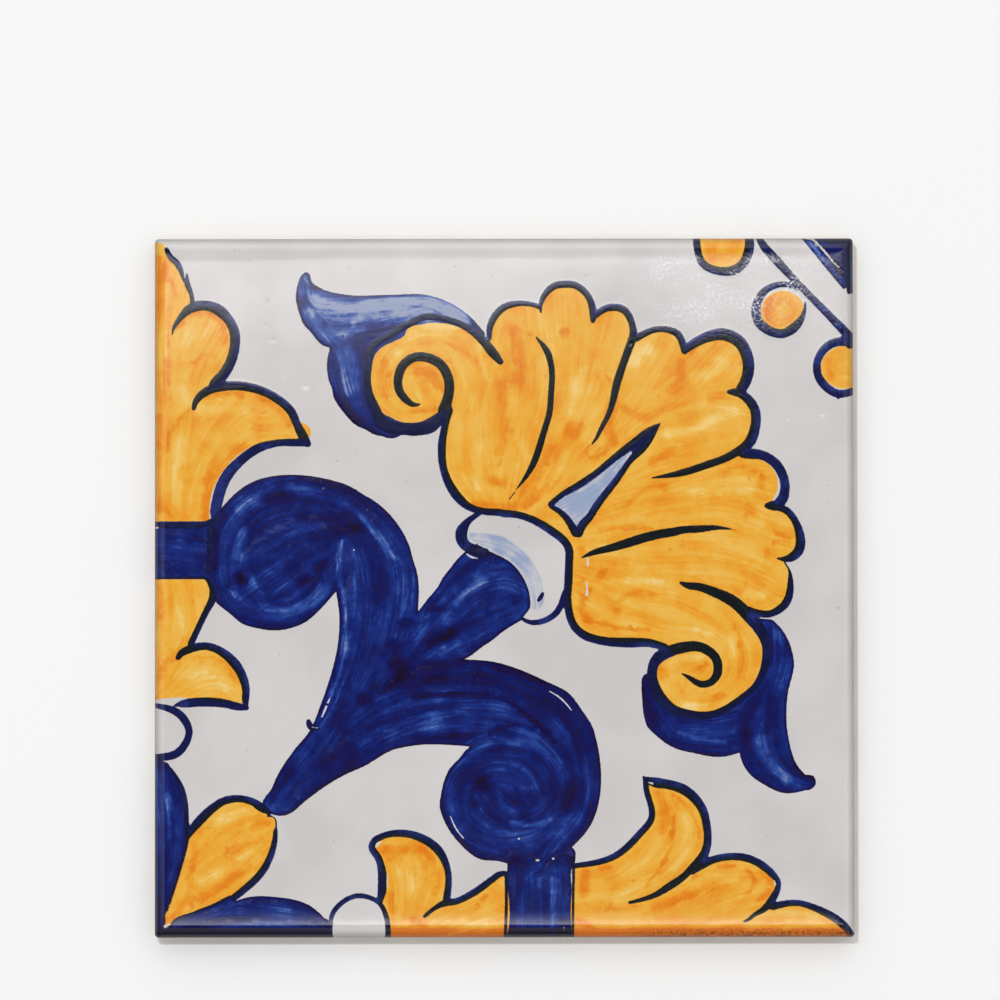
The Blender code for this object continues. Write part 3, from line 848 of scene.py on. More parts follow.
def corner_border() -> Motif:
    """The border in the top right corner: three beads, a blue band and the corner triangle.

    Returns:
        The figure.
    """
    first = (
        (38.6, 70.2, .75), (40.2, 64.6, .8), (44, 63.3, .9), (46, 63.5, 1), (47.6, 64.5, .95),
        (49.2, 68, 1), (49.2, 70.2, .9),
    )
    second = (
        (60.4, 57.1, .2), (60.2, 55.2, .4), (58.1, 52, 1), (56.3, 50.9, .95), (50.9, 53.5, 1),
        (50.5, 55.5, .95), (52.2, 59.3, .75), (55.8, 60.7, .6), (59, 60, .6),
    )
    third = (
        (69.2, 49, .9), (67.3, 49.2, .9), (65.2, 48.5, .9), (62.7, 44.7, .8), (62.9, 42.5, .85),
        (67.2, 38.7, .85), (70.2, 39.4, .75),
    )
    diagonal = (
        (51.1, 70.2, .6), (52.1, 68.4, .85), (54.1, 66.1, .9), (59.2, 60.6, .75), (65.7, 53.9, .85),
        (68.1, 51.4, .95), (69.4, 49.8, .95), (69.3, 48.5, .8),
    )
    band = (
        ((59.5, 70.2), (61.9, 69.6)), ((61.9, 69.6), (65.4, 65.7), (69.3, 61)), ((69.3, 61), (68.2, 59.5)),
        ((68.2, 59.5), (63.8, 64.8), (59.5, 70.2)),
    )
    triangle = (
        ((61.7, 70.4), (65.9, 65.6), (68.3, 61.9), (69, 58.9)), ((69, 58.9), (70.4, 58.9)),
        ((70.4, 58.9), (70.4, 70.4)),
    )
    return Motif(
        lines=(
            first, second, third, diagonal, ((67.3, 38.3, .4), (66.9, 37.7, .15)),
            ((69.3, 69.8, 1.1), (69.2, 59.2, .5)), ((69, 69.3, 1.2), (63, 69.9, .5)),
        ),
        fills=(
            area(Pigment.BLUE, *band),
            area(Pigment.BLUE, *triangle),
            area(Pigment.YELLOW, middle(first), ((49.2, 70.2), (38.6, 70.2))),
            area(Pigment.YELLOW, arc((55.9, 55.4), (4.35, 4), 0, 360, 16)),
            area(
                Pigment.YELLOW,
                ((70.4, 39.9), (66.5, 40), (64, 42), (63.5, 44.5), (64.8, 47), (67, 48.2), (70.4, 48.3)),
                ((70.4, 48.3), (70.4, 39.9)),
            ),
        ),
        guides=guide_rows(
            (0, 41, 69.5, 41.5, 66, 45, 65.5, 47.5, 69.5),
            (1, 54, 58.5, 52.5, 55, 54.5, 52.5, 58, 54, 58, 57.5),
            (0, 69.5, 41, 65.5, 42, 65, 45.5, 69, 47.5), (1, 60.5, 70, 69, 60), (0, 64, 70, 69.5, 63),
        ),
        accents=accent_rows(
            (1, 1, 41, 68.5, 41.6, 65.8), (.9, 1, 53.2, 57.5, 53, 54), (.9, 1, 65, 45.5, 65.5, 42),
            (-1.1, .6, 61.3, 69, 65, 64.6, 68.6, 60.2), (1, 2, 66, 68.5, 69, 65),
            (-.6, .8, 63.6, 68.6, 65.8, 66.6),
        ),
        bare=(
            ((61.95, 69.5, .1), (62.7, 68.4, .16)), ((65.6, 65.6, .08), (67, 64.2, .12), (68.4, 62.5, .08)),
        ),
    )


@dataclass(frozen=True)
class Layers:
    """What a set of points on the face carries: one signed distance a pigment, in mm, and the rest."""

    distance: dict[Pigment, np.ndarray]
    tone: np.ndarray
    flow: tuple[np.ndarray, np.ndarray]


@dataclass
class Pattern:
    """The whole painted quarter pattern, read point by point from its motifs.

    Lengths are in mm. A distance is true up to the reach, and stops there.
    """

    motifs: tuple[Motif, ...]
    reach: float = 2.6
    path_step: float = 0.5
    soft_step: float = 1.0
    softness: float = 0.9
    thin_width: float = 0.6
    hand_blend: float = 1.2
    hand_reach: float = 12.0
    guide_offset: Point = (37.0, 11.0)

    def thin_paths(self) -> list[np.ndarray]:
        """The strokes that are too thin for the mesh to find by itself, and every outline stroke.

        Returns:
            The strokes as smooth runs of (x, y, half width).
        """
        thin = [line for motif in self.motifs for line in motif.bare]
        thin += [a.stroke() for m in self.motifs for a in m.accents if a.half_width < self.thin_width]
        thin += [line for motif in self.motifs for line in motif.lines]
        return [smooth_path(line, self.path_step) for line in thin]

    @staticmethod
    def to_segments(points: np.ndarray, start: np.ndarray, end: np.ndarray) -> tuple[np.ndarray, np.ndarray]:
        """Measures points against segments.

        Args:
            points: the points, one row each.
            start: the segments' first ends.
            end: their other ends.

        Returns:
            The distance of each point to each segment, and how far along it the nearest place is.
        """
        along = end[:, :2] - start[:, :2]
        length = np.maximum((along**2).sum(axis=1), 1e-12)
        offset = points[:, None, :2] - start[None, :, :2]
        share = np.clip((offset * along[None]).sum(axis=2) / length, 0, 1)
        miss = offset - share[..., None] * along[None]
        return np.sqrt((miss**2).sum(axis=2)), share

    def stroke_distance(self, points: np.ndarray, path: np.ndarray, value: np.ndarray) -> None:
        """Raises each point's value to its depth inside a stroke, which is below 0 outside it.

        Args:
            points: the points, one row each.
            path: the stroke as a smooth run of (x, y, half width).
            value: the points' values, which are changed.
        """
        group = 8
        for i in range(0, len(path) - 1, group):
            part = path[i : i + group + 1]
            low = part[:, :2].min(axis=0) - self.reach
            high = part[:, :2].max(axis=0) + self.reach
            near = np.flatnonzero(((points > low) & (points < high)).all(axis=1))
            if len(near) == 0:
                continue
            distance, share = self.to_segments(points[near], part[:-1], part[1:])
            width = part[:-1, 2][None] * (1 - share) + part[1:, 2][None] * share
            value[near] = np.maximum(value[near], (width - distance).max(axis=1))

    def fill_distance(self, points: np.ndarray, fill: Fill) -> np.ndarray:
        """Measures points against an area.

        Args:
            points: the points, one row each.
            fill: the area.

        Returns:
            Each point's depth inside the area, below 0 outside it.
        """
        loop = np.vstack([smooth_path(run, self.path_step) for run in fill.runs])
        after = np.roll(loop, -1, axis=0)
        edge = np.full(len(points), -self.reach)
        closed = np.column_stack([np.vstack([loop, loop[:1]]), np.zeros(len(loop) + 1)])
        self.stroke_distance(points, closed, edge)
        inside = np.zeros(len(points), dtype=bool)
        low = loop.min(axis=0)
        high = loop.max(axis=0)
        near = np.flatnonzero(((points > low) & (points < high)).all(axis=1))
        for (x0, y0), (x1, y1) in zip(loop, after):
            if y0 == y1:
                continue
            crossed = (points[near, 1] > min(y0, y1)) & (points[near, 1] <= max(y0, y1))
            hit = near[crossed]
            at = x0 + (points[hit, 1] - y0) * (x1 - x0) / (y1 - y0)
            inside[hit] ^= at > points[hit, 0]
        return np.where(inside, -edge, edge)

    def distances(self, points: np.ndarray) -> dict[Pigment, np.ndarray]:
        """Measures points against all the paint.

        Args:
            points: the points, one row each.

        Returns:
            For each pigment the points' signed distance to its edge, positive inside.
        """
        found = {pigment: np.full(len(points), -self.reach) for pigment in Pigment}
        for motif in self.motifs:
            for pigment, strokes in ((Pigment.LINE, motif.lines), (Pigment.BARE, motif.bare)):
                for stroke in strokes:
                    self.stroke_distance(points, smooth_path(stroke, self.path_step), found[pigment])
            for fill in motif.fills:
                depth = self.fill_distance(points, fill)
                if fill.hole:
                    found[fill.pigment] = np.minimum(found[fill.pigment], -depth)
                else:
                    found[fill.pigment] = np.maximum(found[fill.pigment], depth)
        return found

    def tones(self, points: np.ndarray) -> np.ndarray:
        """Adds up the accents.

        Args:
            points: the points, one row each.

        Returns:
            How far each point's paint leans to deep (over 0) or thin (under 0).
        """
        tone = np.zeros(len(points))
        for accent in (a for motif in self.motifs for a in motif.accents):
            depth = np.full(len(points), -self.reach)
            self.stroke_distance(points, smooth_path(accent.stroke(), self.soft_step), depth)
            fade = self.softness * accent.half_width
            soft = np.clip((depth + fade) / (2 * fade), 0, 1)
            tone += accent.strength * soft * soft * (3 - 2 * soft)
        return tone

    def flows(self, points: np.ndarray) -> tuple[np.ndarray, np.ndarray]:
        """Finds the brush's path at each point, from the nearest guide of each hand.

        Args:
            points: the points, one row each.

        Returns:
            For each hand the length along its guide, the distance across it, and its share.
        """
        best = np.full((2, len(points)), 1e3)
        along = np.zeros((2, len(points)))
        across = np.zeros((2, len(points)))
        for number, guide in enumerate((g for motif in self.motifs for g in motif.guides), 1):
            path = smooth_path(guide.points, self.soft_step)
            lengths = np.concatenate([[0], np.cumsum(np.linalg.norm(np.diff(path, axis=0), axis=1))])
            low, high = path.min(axis=0) - self.hand_reach, path.max(axis=0) + self.hand_reach
            near = np.flatnonzero(((points > low) & (points < high)).all(axis=1))
            distance, share = self.to_segments(points[near], path[:-1], path[1:])
            pick = distance.argmin(axis=1)
            rows = np.arange(len(near))
            nearest = distance[rows, pick]
            step = path[pick + 1] - path[pick]
            offset = points[near] - path[pick]
            side = np.sign(step[:, 0] * offset[:, 1] - step[:, 1] * offset[:, 0])
            run = lengths[pick] + share[rows, pick] * (lengths[pick + 1] - lengths[pick])
            closer = nearest < best[guide.hand, near]
            chosen = near[closer]
            best[guide.hand, chosen] = nearest[closer]
            along[guide.hand, chosen] = run[closer] + self.guide_offset[0] * number
            across[guide.hand, chosen] = (side * nearest)[closer] + self.guide_offset[1] * number
        lean = np.clip((best[1] - best[0]) / (2 * self.hand_blend) + 0.5, 0, 1)
        first = np.column_stack([along[0], across[0], lean])
        second = np.column_stack([along[1], across[1], 1 - lean])
        return first, second

    def layers(self, points: np.ndarray) -> Layers:
        """Everything that the glaze needs to know at each point of the face."""
        return Layers(self.distances(points), self.tones(points), self.flows(points))


PINHOLES: tuple[BrushPoint, ...] = (
    (-54, 67.5, .2), (-51, 66, .16), (-47.5, 57.3, .18), (-9.7, 64.3, .2), (-23, 66.5, .16), (-31, 64, .18),
    (-2.5, 62.5, .16), (10, 67, .16), (16.5, 62.5, .2), (-33.5, 25.4, .2), (-29.5, 27.5, .16),
    (-19.5, 21.3, .18), (-16.5, 13.5, .18), (-13.5, 7, .16), (-45, -13.4, .2), (-38.3, -14.7, .16),
    (-51.5, -32.6, .18), (-34.2, -50.8, .2), (-30.5, -48, .16), (-7.8, -57.4, .16), (66.8, -4.2, .26),
    (68.6, -4.6, .2), (67.7, -25, .2), (67.8, -30.8, .18), (65, 20.3, .18), (65, 17, .16),
    (52.4, -49.9, .18), (58.3, -58.9, .16), (56.8, -55, .16), (69.6, -65.9, .25), (-42.5, 20.8, .1),
    (-43, 8.5, .1), (-27.4, 15.6, .1), (-26.5, 13.6, .09), (-22.5, -18.8, .12), (-4.2, -5.4, .09),
    (-5.4, -18.5, .09), (51.3, -27.4, .1), (25.5, 48.8, .1), (6.2, 33.3, .14), (51.3, -4.4, .14),
    (2.95, 12.1, .25), (-66.6, -15, .25),
)


# Shallow hollows that the hand-pressed face has: place, size and depth in mm
HOLLOWS = ((20, 45, 12, .08), (-20, 72, 16, .05), (52, 68, 12, .05))


# Materials


def linear(hex_colour: str) -> tuple[float, float, float, float]:
    """Turns an sRGB hex colour into the linear values that a shader takes."""
    parts = [int(hex_colour[i : i + 2], 16) / 255 for i in (1, 3, 5)]
    return (*[c / 12.92 if c <= 0.04045 else ((c + 0.055) / 1.055) ** 2.4 for c in parts], 1.0)


def add(
    tree: bpy.types.NodeTree, kind: str, settings: dict | None = None, links: dict | None = None
) -> bpy.types.Node:
    """Adds one node to a tree.

    Args:
        tree: the node tree.
        kind: the node's type.
        settings: the node's own properties by name, and its sockets' values by index or name.
        links: for each input socket, by index or name, the output socket that feeds it.

    Returns:
        The new node.
    """
    node = tree.nodes.new(kind)
    for key, value in (settings or {}).items():
        if isinstance(key, str) and hasattr(node, key):
            setattr(node, key, value)
        else:
            node.inputs[key].default_value = value
    for key, socket in (links or {}).items():
        tree.links.new(socket, node.inputs[key])
    return node


class Blend(Enum):
    """How one colour goes over another."""

    OVER = "MIX"
    DARKEN = "MULTIPLY"


@dataclass
class Shading:
    """A node tree with a few words for its arithmetic."""

    tree: bpy.types.NodeTree

    def value(self, name: str) -> Socket:
        """A number that the mesh carries at each point."""
        return add(self.tree, "ShaderNodeAttribute", {"attribute_name": name}).outputs["Fac"]

    def vector(self, name: str) -> Socket:
        """Three numbers that the mesh carries at each point."""
        return add(self.tree, "ShaderNodeAttribute", {"attribute_name": name}).outputs["Vector"]

    def math(self, operation: str, *terms: Term, clamp: bool = False) -> Socket:
        """One step of arithmetic.

        Args:
            operation: the step's name.
            terms: the sockets and plain numbers that go in.
            clamp: whether the result is kept from 0 to 1.

        Returns:
            The result.
        """
        node = add(self.tree, "ShaderNodeMath", {"operation": operation, "use_clamp": clamp})
        for slot, term in zip(node.inputs, terms):
            if isinstance(term, Socket):
                self.tree.links.new(term, slot)
            else:
                slot.default_value = term
        return node.outputs[0]

    def product(self, *terms: Socket) -> Socket:
        """Several sockets multiplied."""
        return functools.reduce(lambda one, other: self.math("MULTIPLY", one, other), terms)

    def blended(self, parts: Iterable[tuple[Socket, float]], start: Term) -> Socket:
        """A start value plus each part times its weight."""
        return functools.reduce(lambda so_far, part: self.math("MULTIPLY_ADD", *part, so_far), parts, start)

    def rise(self, socket: Socket, low: float, high: float, top: float = 1.0) -> Socket:
        """A smooth climb, which falls where low is over high.

        Args:
            socket: the value that climbs.
            low: where the result is 0.
            high: where the result has reached its top.
            top: the result from there on.

        Returns:
            The result.
        """
        if low < high:
            ends = {"From Min": low, "From Max": high, "To Min": 0.0, "To Max": top}
        else:
            ends = {"From Min": high, "From Max": low, "To Min": top, "To Max": 0.0}
        settings = {"interpolation_type": "SMOOTHSTEP", **ends}
        return add(self.tree, "ShaderNodeMapRange", settings, {"Value": socket}).outputs["Result"]

    def noise(
        self, where: Socket, scale: tuple[float, ...], detail: float = 2.0, rough: float = 0.5
    ) -> Socket:
        """Soft noise on a place.

        Args:
            where: the place.
            scale: how often it changes in one unit along each axis.
            detail: how many finer layers it has.
            rough: how strong they are.

        Returns:
            A value about 0.5.
        """
        place = add(self.tree, "ShaderNodeMapping", {"Scale": scale}, {"Vector": where}).outputs[0]
        settings = {"Scale": 1.0, "Detail": detail, "Roughness": rough}
        return add(self.tree, "ShaderNodeTexNoise", settings, {"Vector": place}).outputs["Fac"]

    def speckle(self, where: Socket, per_mm: float, detail: float = 2.0, rough: float = 0.5) -> Socket:
        """Soft noise that is the same in every direction, by how often it changes in a millimetre."""
        return self.noise(where, (per_mm / MM,) * 3, detail, rough)

    def layer(
        self, under: Socket | str, over: Socket | str, share: Socket, how: Blend = Blend.OVER
    ) -> Socket:
        """One colour laid on another.

        Args:
            under: the colour below.
            over: the colour on top.
            share: how much of it there is, from 0 to 1.
            how: how the two mix.

        Returns:
            The colour seen.
        """
        node = add(self.tree, "ShaderNodeMix", {"data_type": "RGBA", "blend_type": how.value})
        for name, term in (("Factor_Float", share), ("A_Color", under), ("B_Color", over)):
            socket = next(s for s in node.inputs if s.identifier == name)
            if isinstance(term, Socket):
                self.tree.links.new(term, socket)
            else:
                socket.default_value = linear(term)
        return next(s for s in node.outputs if s.identifier == "Result_Color")

    def ramp(self, socket: Socket, colours: Sequence[str]) -> Socket:
        """A run of colours along a value.

        Args:
            socket: the value.
            colours: the colours, at even places from 0 to 1.

        Returns:
            The colour.
        """
        node = add(self.tree, "ShaderNodeValToRGB", links={0: socket})
        elements = node.color_ramp.elements
        while len(elements) < len(colours):
            elements.new(0.5)
        for number, (element, colour) in enumerate(zip(elements, colours)):
            element.position = number / (len(colours) - 1)
            element.color = linear(colour)
        return node.outputs["Color"]

    def bump(self, shader: bpy.types.Node, height: Socket, strength: float, distance: float) -> None:
        """Gives a shader relief that is too fine for the mesh.

        Args:
            shader: the shader.
            height: the relief, from 0 to 1.
            strength: how strongly it shows.
            distance: its full height in mm.
        """
        settings = {"Strength": strength, "Distance": distance * MM}
        relief = add(self.tree, "ShaderNodeBump", settings, {"Height": height})
        self.tree.links.new(relief.outputs[0], shader.inputs["Normal"])


def new_material(name: str) -> tuple[bpy.types.Material, Shading, bpy.types.Node]:
    """Makes a node material.

    Args:
        name: its name.

    Returns:
        The material, its shading and its shader.
    """
    material = bpy.data.materials.new(name)
    material.use_nodes = True
    tree = material.node_tree
    return material, Shading(tree), tree.nodes["Principled BSDF"]


@dataclass(frozen=True)
class PaintedTinGlaze:
    """Tin glaze on earthenware, painted raw with oxides and fired once, as majolica is.

    The oxides sink into the white glaze, so the eye sees brush streaks under one glossy coat:
    cobalt blue, antimony yellow that turns orange where it is thick, and a manganese line. Each
    "per_mm" is how often a mottling repeats in a millimetre, and each "shades" holds the weights of
    streak, band, cloud, accent, ragged accent, grain and the painted shade of the bottom rolled edge in a
    pigment's depth.
    """

    ground: str = "#d6d2d1"
    ground_shade: str = "#cdc9c8"
    ground_grain: str = "#a8a2a0"
    yellow: tuple[str, ...] = ("#f4d287", "#efbd57", "#edab38", "#ea9323", "#de7512")
    yellow_shades: tuple[float, ...] = (0.22, 0.22, 0.24, 0.12, 0.14, 0.16, 0.9)
    yellow_start: float = 0.06
    # The palest blue is reached where a strong accent thins the paint; on the upper curl leaf it is painted
    # reflection.
    blue: tuple[str, ...] = ("#929cba", "#3454a2", "#182c7b", "#0f185c", "#170f48", "#120828")
    blue_shades: tuple[float, ...] = (0.25, 0.22, 0.22, 0.14, 0.06, 0.16, 1.0)
    blue_start: float = 0.1
    blot: str = "#e67f1a"
    crust: str = "#8a4a12"
    painted_glint_colour: str = "#e8e8ed"
    wash: str = "#93a3c4"
    line_on_white: str = "#151a4a"
    line_thin: str = "#2c3a80"
    line_on_blue: str = "#0f1233"
    line_on_yellow: str = "#14191c"
    pit_on_white: str = "#7d7774"
    pit_glint_on_blue: str = "#8690b8"
    painted_edge_shade: str = "#8f8a84"
    gloss: float = 0.07
    streak_roughness: float = 0.06
    coat_ior: float = 1.5
    edge_wander: float = 0.09
    wander_per_mm: float = 1.6
    ragged_per_mm: float = 0.9
    cloud_per_mm: float = 0.22
    grain_per_mm: float = 1.9
    blot_per_mm: float = 0.3
    patch_per_mm: float = 0.28
    waver_per_mm: float = 0.06
    speck_and_glint_per_mm: float = 1.7
    pit_per_mm: float = 2.6
    glint_cluster_per_mm: tuple[float, float, float] = (0.11, 0.2, 0.1)
    ground_cloud_per_mm: float = 0.06
    ground_grain_per_mm: float = 0.7
    streak_width: float = 0.6
    streak_length: float = 11.0
    slow_along: float = 0.35
    slow_across: float = 0.22
    hair_waver: float = 2.2
    ragged: float = 1.1
    peel_size: float = 0.5
    far_peel: float = 2.2
    relief: float = 0.003
    edge_shade_width: float = 1.6
    edge_shade_depth: float = 0.72
    bottom_shade_line: float = -68.1
    bottom_shade_width: float = 0.4
    bottom_shade_depth: float = 0.62
    roll_foot: Point = (4.7, 5.4)
    crust_start: Point = (22.0, 34.0)
    crust_rim: Point = (-67.9, -69.2)
    peel_across: Point = (14.0, 34.0)
    peel_height: Point = (44.0, 52.0)
    glint_across: tuple[Point, Point] = ((25.0, 33.0), (63.0, 57.0))
    glint_height: tuple[Point, Point] = ((51.0, 56.0), (68.0, 64.0))
    glints_on_yellow: float = 0.15

    def material(self) -> bpy.types.Material:
        """Builds the node material.

        Returns:
            The glaze's material, which reads the paint that the mesh carries.
        """
        material, s, shader = new_material("painted_tin_glaze")
        place = add(s.tree, "ShaderNodeTexCoord").outputs["Object"]
        across, height, above = add(s.tree, "ShaderNodeSeparateXYZ", links={0: place}).outputs[:3]
        wander = s.speckle(place, self.wander_per_mm)
        wander = s.math("MULTIPLY_ADD", wander, 2 * self.edge_wander, -self.edge_wander)
        edge = {p: s.math("ADD", s.value(p.value), wander) for p in Pigment}
        on_blue = s.rise(edge[Pigment.BLUE], -0.05, 0.07)
        on_yellow = s.rise(edge[Pigment.YELLOW], -0.06, 0.08)
        on_roll = s.rise(above, *self.in_metres(self.roll_foot))

        streak, band = self.streaks(s, place)
        cloud = s.rise(s.speckle(place, self.cloud_per_mm, 3.0, 0.6), 0.3, 0.7)
        tone = s.value("tone")
        ragged = s.speckle(place, self.ragged_per_mm, 3.0, 0.6)
        ragged = s.math("MULTIPLY_ADD", ragged, self.ragged, -0.5 * self.ragged)
        deep = s.rise(s.math("ADD", tone, ragged), 0.4, 0.8)
        pale = s.rise(s.math("SUBTRACT", ragged, tone), 0.4, 0.8)
        lean = s.math("SUBTRACT", deep, pale)
        grain = s.speckle(place, self.grain_per_mm, 3.0, 0.7)
        # Painted shade: the pigments deepen in a band along the bottom rolled edge, which turns away from the
        # light.
        bottom_rim_shade = self.in_metres((self.bottom_shade_line + self.bottom_shade_width, self.bottom_shade_line - self.bottom_shade_width))
        bottom_rim_shade = s.product(s.rise(height, *bottom_rim_shade, self.bottom_shade_depth), on_roll)
        shades = (streak, band, cloud, tone, lean, grain, bottom_rim_shade)

        mottle = s.rise(s.blended(((streak, 0.5), (cloud, 0.6)), 0.0), 0.1, 0.9, 0.5)
        thin = s.product(s.rise(edge[Pigment.WASH], -0.25, 0.4), s.math("MULTIPLY_ADD", mottle, 1.5, 0.2))
        base = s.layer(self.bare_glaze(s, place), self.wash, thin)
        depth = s.blended(zip(shades, self.blue_shades), self.blue_start)
        depth = s.math("ADD", depth, s.rise(edge[Pigment.BLUE], 0.75, 0.1, 0.3))
        base = s.layer(base, s.ramp(depth, self.blue), on_blue)
        depth = s.blended(zip(shades, self.yellow_shades), self.yellow_start)
        base = s.layer(base, s.ramp(depth, self.yellow), on_yellow)
        blot = s.blended(((s.speckle(place, self.blot_per_mm, 4.0, 0.62), 1.0), (tone, 0.14)), 0.0)
        base = s.layer(base, self.blot, s.product(s.rise(blot, 0.62, 0.74, 0.7), on_yellow))

        line = s.layer(self.line_on_white, self.line_thin, s.rise(cloud, 0.45, 0.95, 0.6))
        line = s.layer(line, self.line_on_blue, s.rise(edge[Pigment.BLUE], -0.5, 0.1, 0.7))
        line = s.layer(line, self.line_on_yellow, s.rise(edge[Pigment.YELLOW], -0.6, 0.5))
        base = s.layer(base, line, s.rise(edge[Pigment.LINE], -0.06, 0.1))
        base = s.layer(base, self.ground, s.rise(edge[Pigment.BARE], -0.05, 0.1))
        # Pinholes: grey on the white glaze; on the blue they turn pale, a painted highlight of the glint in
        # each pit.
        pit = s.layer(self.pit_on_white, self.pit_glint_on_blue, on_blue)
        base = s.layer(base, pit, s.rise(s.value("pinhole"), 0.2, 0.7, 0.7))

        # Painted highlight: pale glints pricked over the upper right, where the window's reflection lies on
        # the glaze, fewer on the yellow.
        glint_off_yellow = s.math("MULTIPLY_ADD", on_yellow, self.glints_on_yellow - 1.0, 1.0)
        base = s.layer(base, self.painted_glint_colour, s.product(self.painted_glints(s, place, across, height), glint_off_yellow))
        along_rim = s.rise(across, *self.in_metres(self.crust_start))
        on_rim = s.rise(height, *self.in_metres(self.crust_rim))
        specks = s.rise(s.speckle(place, self.speck_and_glint_per_mm, 2.0, 0.7), 0.42, 0.62, 0.9)
        base = s.layer(base, self.crust, s.product(along_rim, on_rim, specks, on_yellow, on_roll))
        # Painted shade: the colour darkens towards the tile's outline, over the rolled edge.
        rim_shade = s.math("DIVIDE", s.value("inset"), self.edge_shade_width)
        rim_shade = s.math("POWER", s.math("SUBTRACT", 1.0, rim_shade, clamp=True), 1.8)
        base = s.layer(base, self.painted_edge_shade, s.math("MULTIPLY", rim_shade, self.edge_shade_depth), Blend.DARKEN)
        s.tree.links.new(base, shader.inputs["Base Color"])

        hairs = s.product(s.math("MAXIMUM", on_yellow, on_blue), streak)
        rough = s.math("MULTIPLY_ADD", hairs, self.streak_roughness, self.gloss)
        s.tree.links.new(rough, shader.inputs["Roughness"])
        shader.inputs["IOR"].default_value = self.coat_ior
        far = s.rise(height, *self.in_metres(self.peel_height), self.far_peel)
        far = s.product(s.rise(across, *self.in_metres(self.peel_across)), far)
        peel = s.product(s.speckle(place, 1 / self.peel_size), s.math("ADD", far, 1.0))
        pits = s.rise(s.speckle(place, self.pit_per_mm, 1.0), 0.66, 0.74)
        s.bump(shader, s.blended(((hairs, 0.5), (pits, -0.7)), peel), 1.0, self.relief)
        return material

    @staticmethod
    def in_metres(ends: Point) -> Point:
        """The two ends of a stretch, from mm."""
        return ends[0] * MM, ends[1] * MM

    def streaks(self, s: Shading, place: Socket) -> tuple[Socket, Socket]:
        """The brush's marks along the flow of each hand.

        Args:
            s: the glaze's shading.
            place: where on the tile.

        Returns:
            The hair marks and the slower changes beside them, both from 0 to 1.
        """
        waver = s.speckle(place, self.waver_per_mm, 1.0)
        waver = s.math("MULTIPLY_ADD", waver, self.hair_waver, -0.5 * self.hair_waver)
        aside = add(s.tree, "ShaderNodeCombineXYZ", links={1: waver}).outputs[0]
        hands = []
        for name in ("flow_a", "flow_b"):
            flow = s.vector(name)
            share = add(s.tree, "ShaderNodeSeparateXYZ", links={0: flow}).outputs[2]
            flow = add(s.tree, "ShaderNodeVectorMath", {"operation": "ADD"}, {0: flow, 1: aside}).outputs[0]
            fine = s.noise(flow, (1 / self.streak_length, 1 / self.streak_width, 0.0), 2.5, 0.55)
            slow = (self.slow_along / self.streak_length, self.slow_across / self.streak_width, 0.0)
            coarse = s.noise(flow, slow, 1.0)
            hands.append((s.product(fine, share), s.product(coarse, share)))
        fine, coarse = (s.math("ADD", first, second) for first, second in zip(*hands))
        patch = s.rise(s.speckle(place, self.patch_per_mm), 0.36, 0.64, 0.9)
        hairs = s.math("SUBTRACT", s.rise(fine, 0.3, 0.7), 0.5)
        hairs = s.math("MULTIPLY_ADD", hairs, s.math("ADD", patch, 0.35), 0.5)
        return hairs, s.rise(coarse, 0.3, 0.7)

    def painted_glints(self, s: Shading, place: Socket, across: Socket, height: Socket) -> Socket:
        """Painted glints: pale specks of painted highlight at the upper right, where the window's reflection
        lies, in loose clusters.

        Args:
            s: the glaze's shading.
            place: where on the tile.
            across: the place's X.
            height: the place's Y.

        Returns:
            How much painted glint there is at each place.
        """
        zone = [s.rise(across, *self.in_metres(ends)) for ends in self.glint_across]
        zone += [s.rise(height, *self.in_metres(ends)) for ends in self.glint_height]
        clusters = s.noise(place, tuple(each / MM for each in self.glint_cluster_per_mm))
        prick = s.rise(s.speckle(place, self.speck_and_glint_per_mm, 3.0, 0.8), 0.5, 0.6, 0.9)
        return s.product(*zone, s.rise(clusters, 0.4, 0.56), prick)

    def bare_glaze(self, s: Shading, place: Socket) -> Socket:
        """The white between the paint: faintly clouded, with the odd grey grain.

        Args:
            s: the glaze's shading.
            place: where on the tile.

        Returns:
            The colour.
        """
        cloud = s.rise(s.speckle(place, self.ground_cloud_per_mm), 0.35, 0.7)
        base = s.layer(self.ground, self.ground_shade, cloud)
        grain = s.rise(s.speckle(place, self.ground_grain_per_mm, 3.0, 0.7), 0.69, 0.78, 0.35)
        return s.layer(base, self.ground_grain, grain)


@dataclass(frozen=True)
class BiscuitClay:
    """Once-fired earthenware, pressed and left bare: matt, cream to buff, sandy and porous."""

    light: str = "#d9c3a2"
    dark: str = "#c3a27c"
    grog: str = "#9d7c5d"
    roughness: float = 0.88
    cloud_per_mm: float = 0.12
    grain_size: float = 0.6
    relief: float = 0.12

    def material(self) -> bpy.types.Material:
        """Builds the node material.

        Returns:
            The bare clay's material.
        """
        material, s, shader = new_material("biscuit_clay")
        place = add(s.tree, "ShaderNodeTexCoord").outputs["Object"]
        cloud = s.rise(s.speckle(place, self.cloud_per_mm, 3.0), 0.3, 0.7)
        grain = s.speckle(place, 1 / self.grain_size, 3.0, 0.65)
        base = s.layer(s.layer(self.light, self.dark, cloud), self.grog, s.rise(grain, 0.6, 0.72, 0.6))
        s.tree.links.new(base, shader.inputs["Base Color"])
        shader.inputs["Roughness"].default_value = self.roughness
        s.bump(shader, grain, 0.6, self.relief)
        return material


@dataclass(frozen=True)
class StudioPaper:
    """Matt white seamless paper, which takes soft shadows and no gloss."""

    colour: str = "#f8f8f8"
    roughness: float = 0.9
    sheen: float = 0.1

    def material(self) -> bpy.types.Material:
        """Builds the node material.

        Returns:
            The paper's material.
        """
        material, _, shader = new_material("studio_paper")
        shader.inputs["Base Color"].default_value = linear(self.colour)
        shader.inputs["Roughness"].default_value = self.roughness
        shader.inputs["Specular IOR Level"].default_value = self.sheen
        return material


